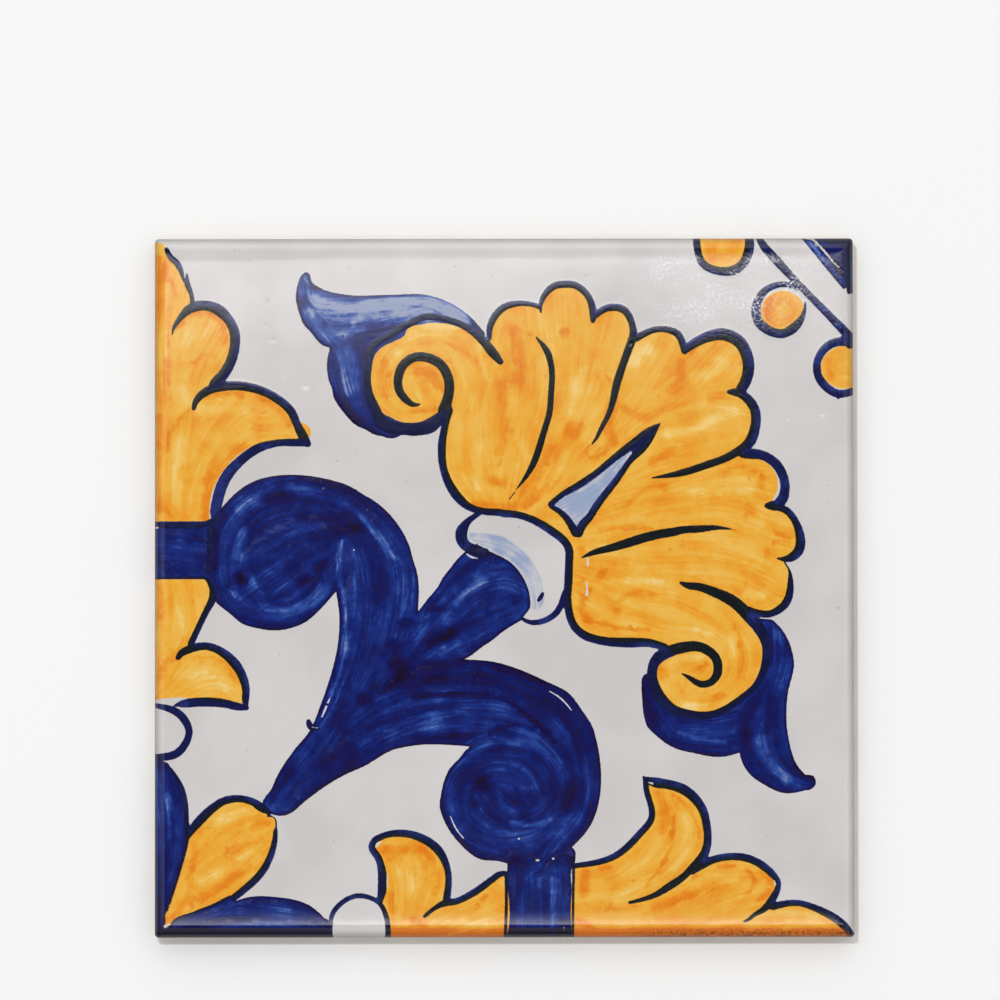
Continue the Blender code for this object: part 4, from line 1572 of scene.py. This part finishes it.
# The tile


@dataclass(frozen=True)
class Skirt:
    """The tile's sides and back: their points and faces, hung from the outline of the painted face."""

    points: np.ndarray
    faces: list[tuple[int, ...]]
    bare: list[bool]
    rim: int
    rows: int


@dataclass
class AzulejoTile:
    """The slab with its painted face, cushioned edge, glazed sides and bare clay back.

    Sizes are in mm. The side and thickness come from the tile part in model.glb. Each glazed step holds how
    far down the glazed part of a side it lies, and how far in. The uv sizes are shares of the unwrapped
    sheet.
    """

    side: float
    thickness: float
    pattern: Pattern
    cushion_width: float = 2.6
    cushion_drop: float = 1.6
    plan_corner: float = 0.8
    face_corner: float = 0.4
    back_chamfer: float = 0.6
    back_roll: Point = (0.25, 0.2)
    paint_thickness: float = 0.012
    paint_edge: float = 0.3
    paint_lead: float = 0.3
    paint_bodies: tuple[tuple[Pigment, float], ...] = (
        (Pigment.YELLOW, 0.6), (Pigment.BLUE, 0.7), (Pigment.LINE, 1.0),
    )
    crown_dip: float = 0.25
    crown_width: float = 5.5
    glazed_steps: tuple[Point, ...] = (
        (0.1, 0.0), (0.3, 0.0), (0.55, 0.0), (0.8, 0.0), (0.93, 0.03), (0.985, 0.1), (1.0, 0.2),
    )
    side_fade: float = 0.25
    glaze_end: float = 1.9
    glaze_wave: float = 0.35
    wave_spread: float = 2.2
    wave_cycles: tuple[int, ...] = (5, 9, 16, 27, 44)
    wave_share: Point = (0.4, 1.0)
    wave_phase: float = 6.28
    clay_inset: float = 0.22
    clay_start: float = 0.12
    clay_roughness: float = 0.05
    pit_rim: float = 1.25
    pit_points: int = 6
    pit_count: int = 36
    pit_radius: Point = (0.06, 0.1)
    pit_clearance: float = 0.6
    rim_step: float = 0.45
    corner_steps: int = 6
    coarse_step: float = 0.95
    coarse_shift: float = 0.2
    fine_step: float = 0.36
    fine_shift: float = 0.06
    fine_band: float = 0.5
    crowd_share: float = 0.62
    grid_clearance: float = 0.25
    back_step: float = 2.5
    back_clearance: float = 0.8
    ring_insets: tuple[float, ...] = (0.22, 0.48, 0.8, 1.15, 1.55, 2.0, 2.6)
    uv_margin: float = 0.008
    uv_span: float = 0.865
    uv_gap: float = 0.012
    uv_strip: float = 0.024
    uv_strip_gap: float = 0.006
    uv_back: float = 0.1
    random: np.random.Generator = field(default_factory=lambda: np.random.default_rng(SEED))

    def corner_radius(self, inset: np.ndarray | float) -> np.ndarray | float:
        """The plan radius of the corners, which tightens towards the mitre on the face."""
        share = np.clip(inset / self.cushion_width, 0, 1)
        return self.plan_corner + share * (self.face_corner - self.plan_corner)

    def ring(self, inset: float) -> np.ndarray:
        """One level outline, anticlockwise from the foot of the first corner.

        Args:
            inset: how far it lies inside the tile's outline.

        Returns:
            Its points, of which each outline has as many.
        """
        radius = float(self.corner_radius(inset))
        centre = self.side / 2 - inset - radius
        straight = int(round((self.side - 2 * self.plan_corner) / self.rim_step))
        points = []
        for corner in range(4):
            start = corner * math.pi / 2
            end = start + math.pi / 2
            x = math.copysign(centre, math.cos(start + math.pi / 4))
            y = math.copysign(centre, math.sin(start + math.pi / 4))
            for step in range(self.corner_steps):
                angle = start + step / self.corner_steps * math.pi / 2
                points.append((x + radius * math.cos(angle), y + radius * math.sin(angle)))
            x += radius * math.cos(end)
            y += radius * math.sin(end)
            for step in range(straight):
                run = step / straight * 2 * centre
                points.append((x + math.cos(end + math.pi / 2) * run, y + math.sin(end + math.pi / 2) * run))
        return np.array(points)

    def inset_of(self, points: np.ndarray) -> np.ndarray:
        """How far each plan point lies inside the tile's outline, found in a few rounds.

        Args:
            points: the plan points.

        Returns:
            Their insets.
        """
        rounds = 6
        inset = np.zeros(len(points))
        for _ in range(rounds):
            radius = self.corner_radius(inset)
            q = np.abs(points) - (self.side / 2 - inset - radius)[:, None]
            outside = np.linalg.norm(np.maximum(q, 0), axis=1)
            inset -= outside + np.minimum(q.max(axis=1), 0) - radius
        return inset

    def height_at(self, points: np.ndarray) -> np.ndarray:
        """The height of the glaze: a flat face that rolls over at its edge.

        Args:
            points: the plan points.

        Returns:
            The height over each of them.
        """
        inset = self.inset_of(points)
        sweep = 2 * math.atan(self.cushion_drop / self.cushion_width)
        radius = self.cushion_width / math.sin(sweep)
        lean = np.clip((self.cushion_width - inset) / radius, 0, math.sin(sweep))
        roll = radius * (1 - np.sqrt(1 - lean**2))
        dip = self.crown_dip * np.clip(1 - inset / self.crown_width, 0, 1) ** 2
        dip *= np.clip(inset / self.cushion_width, 0, 1)
        hollow = np.zeros(len(points))
        for x, y, size, depth in HOLLOWS:
            hollow += depth * np.exp(-((points - (x, y)) ** 2).sum(axis=1) / (2 * size * size))
        return self.thickness - roll - dip - hollow * np.clip(inset / self.crown_width, 0, 1)

    def pinhole_points(self) -> np.ndarray:
        """Places the listed pinholes and a scatter of smaller ones.

        Returns:
            One row of (x, y, radius) for each.
        """
        reach = self.side / 2 - self.cushion_width - self.pit_clearance
        scatter = self.random.uniform(-reach, reach, (self.pit_count, 2))
        sizes = self.random.uniform(*self.pit_radius, (self.pit_count, 1))
        return np.vstack([np.array(PINHOLES), np.hstack([scatter, sizes])])

    def grid(self, reach: float, step: float, shift: float) -> np.ndarray:
        """A square grid of plan points, each moved a little at random.

        Args:
            reach: how far it goes from the middle.
            step: the distance between its points.
            shift: how far they move, as a share of the step.

        Returns:
            The points.
        """
        ticks = np.arange(-reach, reach, step)
        points = np.stack(np.meshgrid(ticks, ticks), axis=-1).reshape(-1, 2)
        return points + self.random.uniform(-shift, shift, points.shape) * step

    def plan_points(self, pinholes: np.ndarray) -> tuple[np.ndarray, int]:
        """Where the face has its points: rings round the cushion, and a crowd at each paint edge.

        Args:
            pinholes: the pinholes' places and radii.

        Returns:
            The points, the outline's first, and how many lie on the outline.
        """
        outline = self.ring(0)
        rings = [outline] + [self.ring(inset) for inset in self.ring_insets]
        reach = self.side / 2 - self.cushion_width - self.grid_clearance
        fine = self.grid(reach, self.fine_step, self.fine_shift)
        nearest = np.min([np.abs(depth) for depth in self.pattern.distances(fine).values()], axis=0)
        fine = fine[nearest < self.fine_band]
        paths = self.pattern.thin_paths()
        thin = np.vstack([path[path[:, 2] < self.pattern.thin_width][:, :2] for path in paths])
        thin = thin[np.abs(thin).max(axis=1) < reach]
        dots = [pinholes[:, :2]]
        for angle in np.arange(self.pit_points) * 2 * math.pi / self.pit_points:
            around = pinholes[:, 2:3] * self.pit_rim * np.array([math.cos(angle), math.sin(angle)])
            dots.append(pinholes[:, :2] + around)
        firm = np.vstack(dots)
        firm = firm[np.abs(firm).max(axis=1) < reach]
        coarse = self.grid(reach, self.coarse_step, self.coarse_shift)
        kept = self.thin_out(firm, thin, np.vstack([thin, fine, coarse]))
        return np.vstack(rings + [kept]), len(outline)

    def thin_out(self, firm: np.ndarray, first: np.ndarray, points: np.ndarray) -> np.ndarray:
        """Drops points that crowd an earlier one, by small square cells.

        Args:
            firm: the points that all stay.
            first: the points that also clear the cells beside theirs.
            points: all the points that may go, the first ones in front.

        Returns:
            The points that stay.
        """
        cell = self.fine_step * self.crowd_share
        taken: set[tuple[int, int]] = set(map(tuple, np.floor(firm / cell).astype(int).tolist()))
        kept = []
        for index, (x, y) in enumerate(np.floor(points / cell).astype(int).tolist()):
            if (x, y) in taken:
                continue
            taken.add((x, y))
            kept.append(index)
            if index < len(first):
                taken.update(((x + 1, y), (x - 1, y), (x, y + 1), (x, y - 1)))
        return np.vstack([firm, points[kept]])

    def glaze_line(self, count: int) -> np.ndarray:
        """The height at which the glaze ends on the sides: a slow wave with a few runs.

        Args:
            count: the number of places round the tile.

        Returns:
            The height at each of them.
        """
        around = np.linspace(0, 2 * math.pi, count, endpoint=False)
        wave = np.zeros(count)
        for cycles in self.wave_cycles:
            height = math.sqrt(self.wave_cycles[0] / cycles) * self.random.uniform(*self.wave_share)
            wave += height * np.sin(cycles * around + self.random.uniform(0, self.wave_phase))
        return self.glaze_end + self.glaze_wave * wave / self.wave_spread

    def build(self, glaze: PaintedTinGlaze, clay: BiscuitClay) -> bpy.types.Object:
        """Makes the tile's mesh, glazes it and gives it its finishes.

        Args:
            glaze: the finish of the face and the glazed part of the sides.
            clay: the finish of the back and the bare part of the sides.

        Returns:
            The finished tile.
        """
        pinholes = self.pinhole_points()
        plan, rim = self.plan_points(pinholes)
        log.info("face: %d points in plan, %d on the outline", len(plan), rim)
        loop = [(i, (i + 1) % rim) for i in range(rim)]
        flat = delaunay_2d_cdt(plan.tolist(), loop, [], 0, 1e-7, True)
        face_points = np.array([tuple(v) for v in flat[0]])
        order = np.full(rim, -1)
        for new, sources in enumerate(flat[3]):
            for source in sources:
                if source < rim:
                    order[source] = new
        triangles = [tuple(f) for f in flat[2]]
        skirt = self.skirt(order, len(face_points))
        face = np.column_stack([face_points, self.height_at(face_points)])
        points = np.vstack([face, skirt.points])
        mesh = bpy.data.meshes.new(PIECE)
        mesh.from_pydata((points * MM).tolist(), [], triangles + skirt.faces)
        mesh.update()
        self.mark(mesh, points, skirt, len(triangles))
        tile = bpy.data.objects.new(PIECE, mesh)
        bpy.context.scene.collection.objects.link(tile)
        return GlazeCoat(self).apply(tile, pinholes, glaze.material(), clay.material())

    def skirt(self, order: np.ndarray, offset: int) -> Skirt:
        """Builds the sides and the back.

        Args:
            order: the face's point for each step of the outline.
            offset: the number of points made so far.

        Returns:
            The sides, row by row from the top, and then the back.
        """
        rim = len(order)
        outline = self.ring(0)
        along = np.roll(outline, -1, axis=0) - np.roll(outline, 1, axis=0)
        outward = np.column_stack([along[:, 1], -along[:, 0]])
        outward /= np.linalg.norm(outward, axis=1)[:, None]
        end = self.glaze_line(rim)
        top = self.thickness - self.cushion_drop
        rows = [(top + (end - top) * share, np.full(rim, inset)) for share, inset in self.glazed_steps]
        rough = self.clay_inset + self.random.uniform(0, self.clay_roughness, (4, rim))
        roll_inset, roll_height = self.back_roll
        rows.append((end - self.clay_start, rough[0]))
        rows.append(((end + self.back_chamfer) / 2, rough[1]))
        rows.append((np.full(rim, self.back_chamfer), rough[2]))
        rows.append((np.full(rim, roll_height), roll_inset + rough[3]))
        rows.append((np.zeros(rim), np.full(rim, self.clay_inset + self.back_chamfer)))
        made, faces, bare = [], [], []
        above = order
        for number, (height, inset) in enumerate(rows):
            made.append(np.column_stack([outline - outward * inset[:, None], height]))
            here = offset + np.arange(rim)
            offset += rim
            faces += np.column_stack([above, here, np.roll(here, -1), np.roll(above, -1)]).tolist()
            bare += [number >= len(self.glazed_steps)] * rim
            above = here
        points, back_faces = self.underside(made[-1][:, :2], above, offset)
        bare += [True] * len(back_faces)
        return Skirt(np.vstack([*made, points]), faces + back_faces, bare, rim, len(rows))

    def underside(self, edge: np.ndarray, order: np.ndarray, offset: int) -> tuple[np.ndarray, list]:
        """Builds the flat, faintly rough back.

        Args:
            edge: the plan points of its edge.
            order: the mesh's point for each of them.
            offset: the number of points made so far.

        Returns:
            The new points, and the faces.
        """
        reach = self.side / 2 - self.back_chamfer - self.clay_inset - self.back_clearance
        ticks = np.linspace(-reach, reach, int(2 * reach / self.back_step))
        grid = np.stack(np.meshgrid(ticks, ticks), axis=-1).reshape(-1, 2)
        flat = delaunay_2d_cdt(np.vstack([edge, grid]).tolist(), [], [], 0, 1e-7, True)
        lookup = {}
        points = []
        for new, sources in enumerate(flat[3]):
            on_edge = [source for source in sources if source < len(edge)]
            if on_edge:
                lookup[new] = int(order[on_edge[0]])
            else:
                lookup[new] = offset + len(points)
                points.append((*flat[0][new], float(self.random.uniform(0.0, self.clay_roughness))))
        return np.array(points), [tuple(lookup[v] for v in reversed(face)) for face in flat[2]]

    def mark(self, mesh: bpy.types.Mesh, points: np.ndarray, skirt: Skirt, face_count: int) -> None:
        """Stores on the mesh the paint, the glazed faces and the unwrapped places.

        Args:
            mesh: the tile's mesh.
            points: all its points, in mm.
            skirt: the sides and the back.
            face_count: how many faces the painted face has.
        """
        on_face = len(points) - len(skirt.points)
        plan = points[:on_face, :2]
        layers = self.pattern.layers(plan)
        outline = self.pattern.distances(self.ring(0))
        for pigment, depth in layers.distance.items():
            sides = [outline[pigment] - self.side_fade * row for row in range(len(self.glazed_steps))]
            self.store(mesh, pigment.value, np.concatenate([depth, *sides]), -self.pattern.reach)
        self.store(mesh, "tone", layers.tone)
        for name, flow in zip(("flow_a", "flow_b"), layers.flow):
            values = np.zeros((len(points), 3), dtype=np.float32)
            values[:on_face] = flow
            mesh.attributes.new(name, "FLOAT_VECTOR", "POINT").data.foreach_set("vector", values.ravel())
        paint = np.zeros(on_face)
        for pigment, body in self.paint_bodies:
            full = np.clip(layers.distance[pigment] / self.paint_edge + self.paint_lead, 0, 1)
            paint = np.maximum(paint, body * full)
        self.store(mesh, "paint", paint)
        self.store(mesh, "on_face", np.ones(on_face))
        self.store(mesh, "inset", self.inset_of(plan))
        glazed = np.ones(len(mesh.polygons), dtype=bool)
        glazed[face_count:] = ~np.array(skirt.bare)
        mesh.attributes.new("glazed", "BOOLEAN", "FACE").data.foreach_set("value", glazed)
        self.unwrap(mesh, points, skirt, face_count)

    @staticmethod
    def store(mesh: bpy.types.Mesh, name: str, values: np.ndarray, rest: float = 0.0) -> None:
        """Keeps one number a point on the mesh.

        Args:
            mesh: the mesh.
            name: the number's name.
            values: the numbers of its first points.
            rest: the number of the others.
        """
        numbers = np.full(len(mesh.vertices), rest, dtype=np.float32)
        numbers[: len(values)] = values
        mesh.attributes.new(name, "FLOAT", "POINT").data.foreach_set("value", numbers)

    def unwrap(self, mesh: bpy.types.Mesh, points: np.ndarray, skirt: Skirt, face_count: int) -> None:
        """Lays the face out in plan, the sides in four strips above it and the back in one beside it.

        Args:
            mesh: the tile's mesh.
            points: all its points, in mm.
            skirt: the sides and the back.
            face_count: how many faces the painted face has.
        """
        loops = np.empty(len(mesh.loops), dtype=np.int32)
        mesh.loops.foreach_get("vertex_index", loops)
        places = points[loops, :2] / self.side + 0.5
        uv = self.uv_margin + self.uv_span * places
        starts = np.empty(len(mesh.polygons), dtype=np.int32)
        mesh.polygons.foreach_get("loop_start", starts)
        beyond = self.uv_margin + self.uv_span + self.uv_gap
        quarter = skirt.rim // 4
        for row in range(skirt.rows):
            for i in range(skirt.rim):
                start = starts[face_count + row * skirt.rim + i]
                left, right = (i % quarter) / quarter, (i % quarter + 1) / quarter
                low = beyond + i // quarter * (self.uv_strip + self.uv_strip_gap)
                near, far = (low + self.uv_strip * n / skirt.rows for n in (row, row + 1))
                for k, (u, v) in enumerate(((left, near), (left, far), (right, far), (right, near))):
                    uv[start + k] = (self.uv_margin + self.uv_span * u, v)
        back_start = starts[face_count + skirt.rows * skirt.rim]
        uv[back_start:, 0] = beyond + self.uv_back * (1 - places[back_start:, 0])
        layer = mesh.uv_layers.new(name="OFBake")
        layer.uv.foreach_set("vector", uv.astype(np.float32).ravel())


@dataclass
class GlazeCoat:
    """The fired glaze's own relief, laid on by a node tree: paint edges, ripples and pinholes."""

    tile: AzulejoTile
    ripple_height: float = 0.03
    ripple_size: float = 14.0
    pinhole_depth: float = 0.012
    sharp_from: float = 50.0

    @staticmethod
    def carried(tree: bpy.types.NodeTree, name: str, kind: str = "FLOAT") -> Socket:
        """What the mesh carries under a name."""
        settings = {"data_type": kind, "Name": name}
        return add(tree, "GeometryNodeInputNamedAttribute", settings).outputs["Attribute"]

    def tree(self) -> bpy.types.GeometryNodeTree:
        """Builds the tree: it lowers bare glaze, ripples it, presses the pinholes and sets the finishes.

        Returns:
            The tree, with its inputs unset.
        """
        tree = bpy.data.node_groups.new("glaze_coat", "GeometryNodeTree")
        sockets = {
            "Geometry": "Geometry", "Paint Thickness": "Float", "Ripple Height": "Float",
            "Ripple Size": "Float", "Pinhole Depth": "Float", "Pinholes": "Object", "Seed": "Float",
            "Glaze": "Material", "Clay": "Material",
        }
        for name, kind in sockets.items():
            tree.interface.new_socket(name, in_out="INPUT", socket_type="NodeSocket" + kind)
        tree.interface.new_socket("Geometry", in_out="OUTPUT", socket_type="NodeSocketGeometry")
        entry = tree.nodes.new("NodeGroupInput").outputs
        leave = tree.nodes.new("NodeGroupOutput")
        s = Shading(tree)

        place = add(tree, "GeometryNodeInputPosition").outputs[0]
        sunk = s.product(s.math("SUBTRACT", 1.0, self.carried(tree, "paint")), entry["Paint Thickness"])
        scale = s.math("DIVIDE", 1.0, entry["Ripple Size"])
        ripple = add(
            tree, "ShaderNodeTexNoise", {"noise_dimensions": "4D", "Detail": 1.0},
            {"Vector": place, "W": entry["Seed"], "Scale": scale},
        ).outputs[0]
        ripple = s.product(ripple, entry["Ripple Height"])
        holes = add(tree, "GeometryNodeObjectInfo", links={"Object": entry["Pinholes"]}).outputs["Geometry"]
        gap = add(tree, "GeometryNodeProximity", {"target_element": "POINTS"}, {0: holes}).outputs["Distance"]
        nearest = add(tree, "GeometryNodeSampleNearest", {"domain": "POINT"}, {"Geometry": holes}).outputs[0]
        radius = add(
            tree, "GeometryNodeSampleIndex", {"data_type": "FLOAT"},
            {"Geometry": holes, "Value": self.carried(tree, "radius"), "Index": nearest},
        ).outputs[0]
        pressed = s.math("SUBTRACT", 1.0, s.math("DIVIDE", gap, radius), clamp=True)
        total = s.math("ADD", s.math("ADD", sunk, ripple), s.product(pressed, entry["Pinhole Depth"]))
        total = s.product(total, self.carried(tree, "on_face"))
        down = add(tree, "ShaderNodeCombineXYZ", links={"Z": s.math("MULTIPLY", total, -1.0)}).outputs[0]
        stored = add(
            tree, "GeometryNodeStoreNamedAttribute",
            {"data_type": "FLOAT", "domain": "POINT", "Name": "pinhole"},
            {"Geometry": entry["Geometry"], "Value": pressed},
        ).outputs[0]
        moved = add(tree, "GeometryNodeSetPosition", links={"Geometry": stored, "Offset": down}).outputs[0]
        real = add(tree, "GeometryNodeRealizeInstances", links={0: moved}).outputs[0]
        bare = {"Geometry": real, "Material": entry["Clay"]}
        clay = add(tree, "GeometryNodeSetMaterial", links=bare).outputs[0]
        glazed = self.carried(tree, "glazed", "BOOLEAN")
        coated = {"Geometry": clay, "Selection": glazed, "Material": entry["Glaze"]}
        done = add(tree, "GeometryNodeSetMaterial", links=coated).outputs[0]
        tree.links.new(done, leave.inputs[0])
        return tree

    def apply(
        self, obj: bpy.types.Object, pinholes: np.ndarray, glaze: bpy.types.Material, clay: bpy.types.Material
    ) -> bpy.types.Object:
        """Runs the tree on the tile and keeps the result as a plain mesh.

        Args:
            obj: the tile without its relief.
            pinholes: the pinholes' places and radii in mm.
            glaze: the material of the glazed faces.
            clay: the material of the bare ones.

        Returns:
            The finished tile.
        """
        heights = self.tile.height_at(pinholes[:, :2])
        marks = bpy.data.meshes.new("pinholes")
        marks.from_pydata((np.column_stack([pinholes[:, :2], heights]) * MM).tolist(), [], [])
        self.tile.store(marks, "radius", pinholes[:, 2] * self.tile.pit_rim * MM)
        holder = bpy.data.objects.new("pinholes", marks)
        bpy.context.scene.collection.objects.link(holder)
        tree = self.tree()
        modifier = obj.modifiers.new("glaze_coat", "NODES")
        modifier.node_group = tree
        values = {
            "Paint Thickness": self.tile.paint_thickness * MM,
            "Ripple Height": self.ripple_height * MM,
            "Ripple Size": self.ripple_size * MM,
            "Pinhole Depth": self.pinhole_depth * MM,
            "Pinholes": holder,
            "Seed": float(SEED),
            "Glaze": glaze,
            "Clay": clay,
        }
        for item in tree.interface.items_tree:
            if item.in_out == "INPUT" and item.name in values:
                modifier[item.identifier] = values[item.name]
        graph = bpy.context.evaluated_depsgraph_get()
        result = bpy.data.meshes.new_from_object(obj.evaluated_get(graph), depsgraph=graph)
        result.name = PIECE
        obj.modifiers.clear()
        obj.data = result
        bpy.data.objects.remove(holder)
        result.shade_smooth()
        result.set_sharp_from_angle(angle=math.radians(self.sharp_from))
        return obj


# The studio


@dataclass(frozen=True)
class Softbox:
    """One rectangular soft light, in metres, facing the tile.

    Its radiance is how bright it looks beside a white sheet, which is 1.
    """

    name: str
    place: tuple[float, float, float]
    size: Point
    radiance: float
    turn: float = 0.0
    mirrored: bool = True

    def build(self) -> None:
        """Adds the light to the scene."""
        data = bpy.data.lights.new(self.name, "AREA")
        data.shape = "RECTANGLE"
        data.size, data.size_y = self.size
        data.energy = self.radiance * math.pi * self.size[0] * self.size[1]
        light = bpy.data.objects.new(self.name, data)
        light.location = self.place
        light.visible_glossy = self.mirrored
        facing = (-Vector(self.place)).to_track_quat("-Z", "Y").to_matrix()
        light.rotation_euler = (Matrix.Rotation(math.radians(self.turn), 3, "Z") @ facing).to_euler()
        bpy.context.scene.collection.objects.link(light)


SOFTBOXES = (
    Softbox("window", (0.0, 0.1415, 1.0), (1.0, 0.053), 3.8, 3.8),
    Softbox("key", (-0.296, 0.444, 2.0), (0.09, 0.09), 500.0, mirrored=False),
    Softbox("near_strip", (0.0, -0.33, 2.0), (1.2, 0.24), 4.5),
    Softbox("near_glow", (0.0, -0.165, 2.0), (1.2, 0.09), 0.7),
)


@dataclass
class Studio:
    """A pale floor, soft lights in a dim room, and the camera that looks down on the tile.

    The camera's numbers come from how the tile's corners sit in the photograph.
    """

    floor_size: float = 24.0
    camera_distance: float = 2.0
    camera_tilt: float = 2.262
    camera_roll: float = -0.071
    pixels_per_mm: float = 4.9939
    image_width: float = 1000.0
    aim: Point = (-0.83, 17.5)
    face_height: float = 0.007
    room_overhead: float = 0.04
    room_walls: float = 0.74
    dim_sides: float = 0.5
    room_horizon: float = 0.95
    window_side: float = 0.6
    wall_foot: float = 0.5
    wall_climb: tuple[float, float, float] = (0.2, 0.75, 0.75)
    overhead_from: Point = (0.87, 0.93)
    horizon_from: Point = (0.2, 0.08)

    def floor(self) -> None:
        """The sheet that the tile lies on."""
        mesh = bmesh.new()
        bmesh.ops.create_grid(mesh, x_segments=1, y_segments=1, size=self.floor_size / 2)
        data = bpy.data.meshes.new("floor")
        mesh.to_mesh(data)
        mesh.free()
        data.materials.append(StudioPaper().material())
        floor = bpy.data.objects.new("floor", data)
        bpy.context.scene.collection.objects.link(floor)

    def camera(self) -> None:
        """The camera, almost straight above the tile and a little towards its lower edge."""
        data = bpy.data.cameras.new("camera")
        data.sensor_width = 36.0
        data.lens = self.pixels_per_mm * data.sensor_width * self.camera_distance / MM / self.image_width
        data.clip_end = 100.0
        aim = Matrix.Translation((self.aim[0] * MM, self.aim[1] * MM, self.face_height))
        turn = Matrix.Rotation(math.radians(self.camera_tilt), 4, "X")
        roll = Matrix.Rotation(math.radians(self.camera_roll), 4, "Z")
        camera = bpy.data.objects.new("camera", data)
        camera.matrix_world = aim @ turn @ Matrix.Translation((0, 0, self.camera_distance)) @ roll
        bpy.context.scene.collection.objects.link(camera)
        bpy.context.scene.camera = camera

    def room(self) -> None:
        """The dim room: dark overhead, so that the glaze stays deep, and pale at the horizon."""
        world = bpy.data.worlds.new("room")
        bpy.context.scene.world = world
        world.use_nodes = True
        s = Shading(world.node_tree)
        heading = add(s.tree, "ShaderNodeTexCoord").outputs["Generated"]
        parts = add(s.tree, "ShaderNodeSeparateXYZ", links={0: heading}).outputs
        walls = s.math("MULTIPLY_ADD", parts[1], self.window_side * self.room_walls, self.room_walls)
        climb = s.math("ADD", s.rise(parts[2], *self.wall_climb), self.wall_foot)
        sides = s.math("MULTIPLY_ADD", s.product(parts[0], parts[0]), -self.dim_sides, 1.0)
        walls = s.product(walls, climb, sides)
        high = s.rise(parts[2], *self.overhead_from)
        strength = s.math("MULTIPLY_ADD", s.math("SUBTRACT", self.room_overhead, walls), high, walls)
        low = s.rise(parts[2], *self.horizon_from)
        strength = s.math("MULTIPLY_ADD", s.math("SUBTRACT", self.room_horizon, strength), low, strength)
        background = s.tree.nodes["Background"]
        background.inputs["Color"].default_value = linear("#ffffff")
        s.tree.links.new(strength, background.inputs["Strength"])
        bpy.context.scene.view_settings.view_transform = "Standard"


def main() -> None:
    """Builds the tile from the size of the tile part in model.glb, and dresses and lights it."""
    logging.basicConfig(level=logging.INFO, format="%(message)s")
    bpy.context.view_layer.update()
    low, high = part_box("tile")
    side = (high[0] - low[0]) / MM
    thickness = (high[2] - low[2]) / MM
    motifs = (
        left_leaf(), lower_left_leaf(), edge_leaves(), bottom_leaf(), right_leaf(), scroll(), calyx(),
        palmette(), curl_leaves(), corner_border(),
    )
    slab = AzulejoTile(side, thickness, Pattern(motifs))
    tile = slab.build(PaintedTinGlaze(), BiscuitClay())
    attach(tile, "root")
    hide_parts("tile")
    log.info("%s: %d points, %d faces", tile.name, len(tile.data.vertices), len(tile.data.polygons))
    studio = Studio(face_height=high[2])
    studio.floor()
    studio.camera()
    studio.room()
    for softbox in SOFTBOXES:
        softbox.build()


if __name__ == "__main__":
    main()
